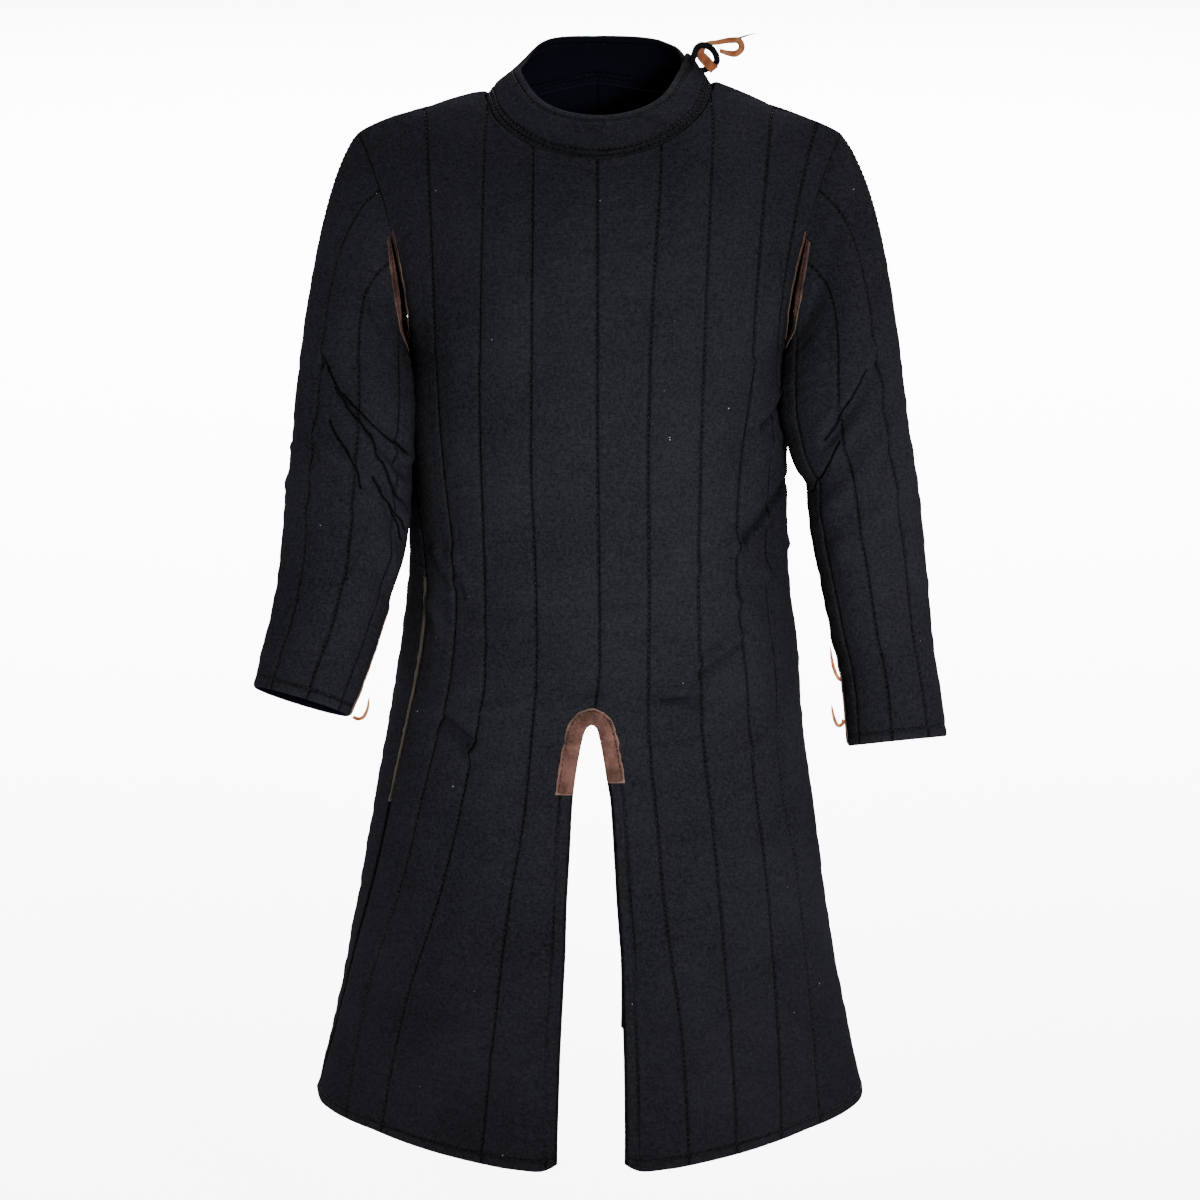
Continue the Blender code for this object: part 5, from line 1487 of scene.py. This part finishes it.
for side, word in ((RIGHT, "right"), (LEFT, "left")):
    back = halves[BACK, side]
    rows = np.flatnonzero((HEIGHTS > SIDE_SLIT_TOP - SIDE_STRIP_LENGTH) & (HEIGHTS < SIDE_SLIT_TOP))
    edge = [back[key][rows][:, ::-1] for key in ("outer", "inner", "out")]
    seams["side_facing_" + word] = binding("side_facing_" + word, *edge, SIDE_STRIP, DULL_LEATHER)
    # The strips under the arms take the suede darkened with painted shade.
    top = LOWER + SEWN_FROM * FINE
    for panel, face in (("front", FRONT), ("back", BACK)):
        half = halves[face, side]
        edge = [half[key][LOWER - 1 : top][:, ::-1] for key in ("outer", "inner", "out")]
        name = f"armpit_binding_{panel}_{word}"
        seams[name] = binding(name, *edge, ARMPIT_STRIP, SHADED_SUEDE)
    sleeve = sleeves[side]
    columns = np.arange(-SEWN_FROM * FINE, SEWN_FROM * FINE + 1) % SLEEVE_COLUMNS
    edge = [sleeve[key][:, columns].swapaxes(0, 1) for key in ("outer", "inner", "out")]
    name = "armpit_binding_sleeve_" + word
    seams[name] = binding(name, *edge, ARMPIT_STRIP, SHADED_SUEDE)
    rows = np.arange(len(sleeve["outer"]) - 1, sleeve["slit_row"] - 14, -1)
    heights = sleeve["up"][rows, 0]
    parts = {}
    for part, columns in ((LEFT, np.arange(0, 16)), (RIGHT, np.arange(-1, -17, -1))):
        piece = {key: sleeve[key][rows][:, columns] for key in ("outer", "inner", "out")}
        runs = np.linalg.norm(np.diff(piece["outer"], axis=1), axis=-1)
        first = cuff_slit_half(heights)[:, None]
        piece["from_middle"] = np.concatenate([first, first + np.cumsum(runs, axis=1)], axis=1)
        parts[part] = piece
    name = "cuff_facing_" + word
    legs = (CUFF_SLIT - 0.004, CUFF_SLIT - 0.001)
    seams[name] = slit_patch(name, parts, heights, CUFF_SLIT, cuff_slit_half, legs, CUFF_PATCH)


# All the stitches are black cotton thread, slightly glossier than the cloth, one about every 5 mm. Each is
# a short bead half sunk in its groove. They run down every row of quilting, beside the free edges, round the
# collar and along the leather.
THREAD_THICK, STITCH_LENGTH, STITCH_PITCH = 0.0009, 0.0036, 0.0053


def twisted(place):
    """Thread: black, a little paler where it is worn, with the twist of its plies."""
    worn = place.noise(240, 2).ramp(0.35, 0.7)
    base = worn.blend(colour(0.0008, 0.0008, 0.0012), colour(0.0050, 0.0052, 0.0064))
    twist = place.noise(2600, 1)
    bump = place.node("ShaderNodeBump", {"Strength": 0.4, "Distance": 0.0002, "Height": twist})
    return {"Base Color": base, "Normal": bump}


THREAD = material("black thread", 0.7, twisted, Specular_IOR_Level=0.05)


def sew(name, rows):
    """Stitches along rows of points with their normals: four rings of four points taper to both ends."""
    random = np.random.default_rng(len(name) + len(rows))
    found = []
    for points, outs in rows:
        run = along(points)
        if run[-1] < 2 * STITCH_PITCH:
            continue
        at = np.arange(STITCH_PITCH * 0.6, run[-1] - STITCH_PITCH * 0.4, STITCH_PITCH)
        at += random.uniform(-0.0004, 0.0004, len(at))
        values = np.concatenate([points, unit(np.gradient(points, run, axis=0)), outs], axis=-1)
        found.append(np.stack([np.interp(at, run, values[:, k]) for k in range(9)], axis=-1))
    found = np.concatenate(found)
    middle, ahead, out = found[:, :3], unit(found[:, 3:6]), found[:, 6:]
    across = unit(np.cross(ahead, out))
    ahead = unit(ahead + across * random.normal(0, 0.05, (len(found), 1)))
    out = np.cross(across, ahead)
    turn = np.arange(4) * math.pi / 2 + math.pi / 4
    sizes = ((-0.38, 0.66), (-0.15, 1), (0.15, 1), (0.38, 0.66))
    rings = [[(place, size * math.cos(a), size * math.sin(a)) for a in turn] for place, size in sizes]
    shape = np.array([(-0.5, 0, -0.5), *(p for ring in rings for p in ring), (0.5, 0, -0.5)])
    shape = shape * [STITCH_LENGTH, THREAD_THICK / 2, THREAD_THICK / 2]
    long = random.uniform(0.85, 1.12, (len(found), 1, 1))
    points = middle[:, None] + ahead[:, None] * shape[:, :1] * long
    points = points + across[:, None] * shape[:, 1:2] + out[:, None] * (shape[:, 2:] + 0.0001)
    side, after = np.arange(4), (np.arange(4) + 1) % 4
    four = [1 + 4 * k + np.stack([side, after, 4 + after, 4 + side], -1) for k in range(3)]
    last = np.full(4, 17)
    three = [np.stack([0 * side, 1 + after, 1 + side], -1), np.stack([last, 13 + side, 13 + after], -1)]
    start = (np.arange(len(found)) * 18)[:, None, None]
    faces = (start + np.concatenate(four)).reshape(-1, 4).tolist()
    faces += (start + np.concatenate(three)).reshape(-1, 3).tolist()
    return add_mesh(name, points.reshape(-1, 3), faces, THREAD, 80)


def crossing(values, distance, at):
    """The values in each column of a grid where the distance first reaches this one."""
    row = np.clip((np.maximum.accumulate(distance, axis=0) <= at).sum(0) - 1, 0, len(distance) - 2)
    k = np.arange(distance.shape[1])
    share = ((at - distance[row, k]) / (distance[row + 1, k] - distance[row, k])).clip(0, 1)[:, None]
    return values[row, k] * (1 - share) + values[row + 1, k] * share


for face, word in ((FRONT, "front"), (BACK, "back")):
    rows = []
    for side in (RIGHT, LEFT):
        half = halves[face, side]
        outer, out = half["outer"], half["out"]
        first = int((half["up"][:, 0] < HEM_INSET).sum())
        for column in range(CHANNEL, outer.shape[1] - 1, CHANNEL):
            rows.append((outer[first:-1, column], out[first:-1, column]))
        rows.append([crossing(values, half["up"], HEM_INSET) for values in (outer, out)])
        below = slice(first, int(np.searchsorted(HEIGHTS, SLIT_TOP - 0.070)))
        from_slit = half["across"][below].T
        edges = [values[below].swapaxes(0, 1) for values in (outer, out)]
        rows.append([crossing(values, from_slit, SLIT_INSET) for values in edges])
    middle = halves[face, LEFT]
    rows.append((middle["outer"][SLIT_ROW + 7 : -1, 0], middle["out"][SLIT_ROW + 7 : -1, 0]))
    sew(word + "_stitches", rows)

for side, word in ((RIGHT, "right"), (LEFT, "left")):
    sleeve = sleeves[side]
    rows = []
    last = int((sleeve["up"][:, 0] > CUFF_INSET).sum())
    for column in range(0, SLEEVE_COLUMNS, CHANNEL):
        end = min(last, sleeve["slit_row"] - 14) if column == 0 else last
        rows.append((sleeve["outer"][1:end, column], sleeve["out"][1:end, column]))
    rows.append([crossing(sleeve[key][::-1], sleeve["up"][::-1], CUFF_INSET) for key in ("outer", "out")])
    sew(f"sleeve_{word}_stitches", rows)

rows = []
for way, place in COLLAR_STITCHES:
    rising = way if way is up else way[::-1]
    for wall, facing in ((collar["outer"], collar["out"]), (collar["inner"], -collar["out"])):
        seen = slice(34, None) if wall is collar["outer"] else slice(0, 262)
        pair = [values if way is up else values[::-1] for values in (wall, facing)]
        rows.append([crossing(values[:, seen], rising[:, seen], place) for values in pair])
sew("collar_stitches", rows)
sew("leather_stitches", list(seams.values()))


# The stage is a plain pale floor that fills the picture. A wide lamp behind and above whitens it, a soft box
# in front lights the middle of the garment most, and a weak even sky fills the shadows.
floor_mesh = bpy.data.meshes.new("floor")
floor_mesh.from_pydata([(-30, -12, 0), (30, -12, 0), (30, 45, 0), (-30, 45, 0)], [], [(0, 1, 2, 3)])
floor = bpy.data.objects.new("floor", floor_mesh)
floor.location = (0, 0, -1.32)
bpy.context.scene.collection.objects.link(floor)
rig.stage(floor)
pale = bpy.data.materials.new("pale floor")
pale.use_nodes = True
pale.node_tree.nodes["Principled BSDF"].inputs["Base Color"].default_value = (0.97, 0.97, 0.97, 1)
pale.node_tree.nodes["Principled BSDF"].inputs["Roughness"].default_value = 0.9
floor_mesh.materials.append(pale)
world = bpy.data.worlds.new("studio")
world.use_nodes = True
world.node_tree.nodes["Background"].inputs["Color"].default_value = (1, 1, 1, 1)
world.node_tree.nodes["Background"].inputs["Strength"].default_value = 0.35
bpy.context.scene.world = world
for name, place, aim, size, spread, power in (
    ("soft box", (0.95, -2.7, 0.2), (0.05, -0.14, -0.45), 0.6, 32, 13),
    ("floor lamp", (0, 8, 5), (0, 8.01, -1), 14, 180, 15000),
):
    light = bpy.data.lights.new(name, "AREA")
    light.size = size
    light.energy = power
    light.spread = math.radians(spread)
    lamp = bpy.data.objects.new(name, light)
    lamp.location = place
    lamp.rotation_euler = (Vector(aim) - Vector(place)).to_track_quat("-Z", "Y").to_euler()
    bpy.context.scene.collection.objects.link(lamp)

visual_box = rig.bounds()
boxes = {
    name: [[float(value) for value in corner] for corner in box]
    for name, box in (("cad", cad_box), ("visual", visual_box))
}
with open("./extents.json", "w") as file:
    json.dump(boxes, file)
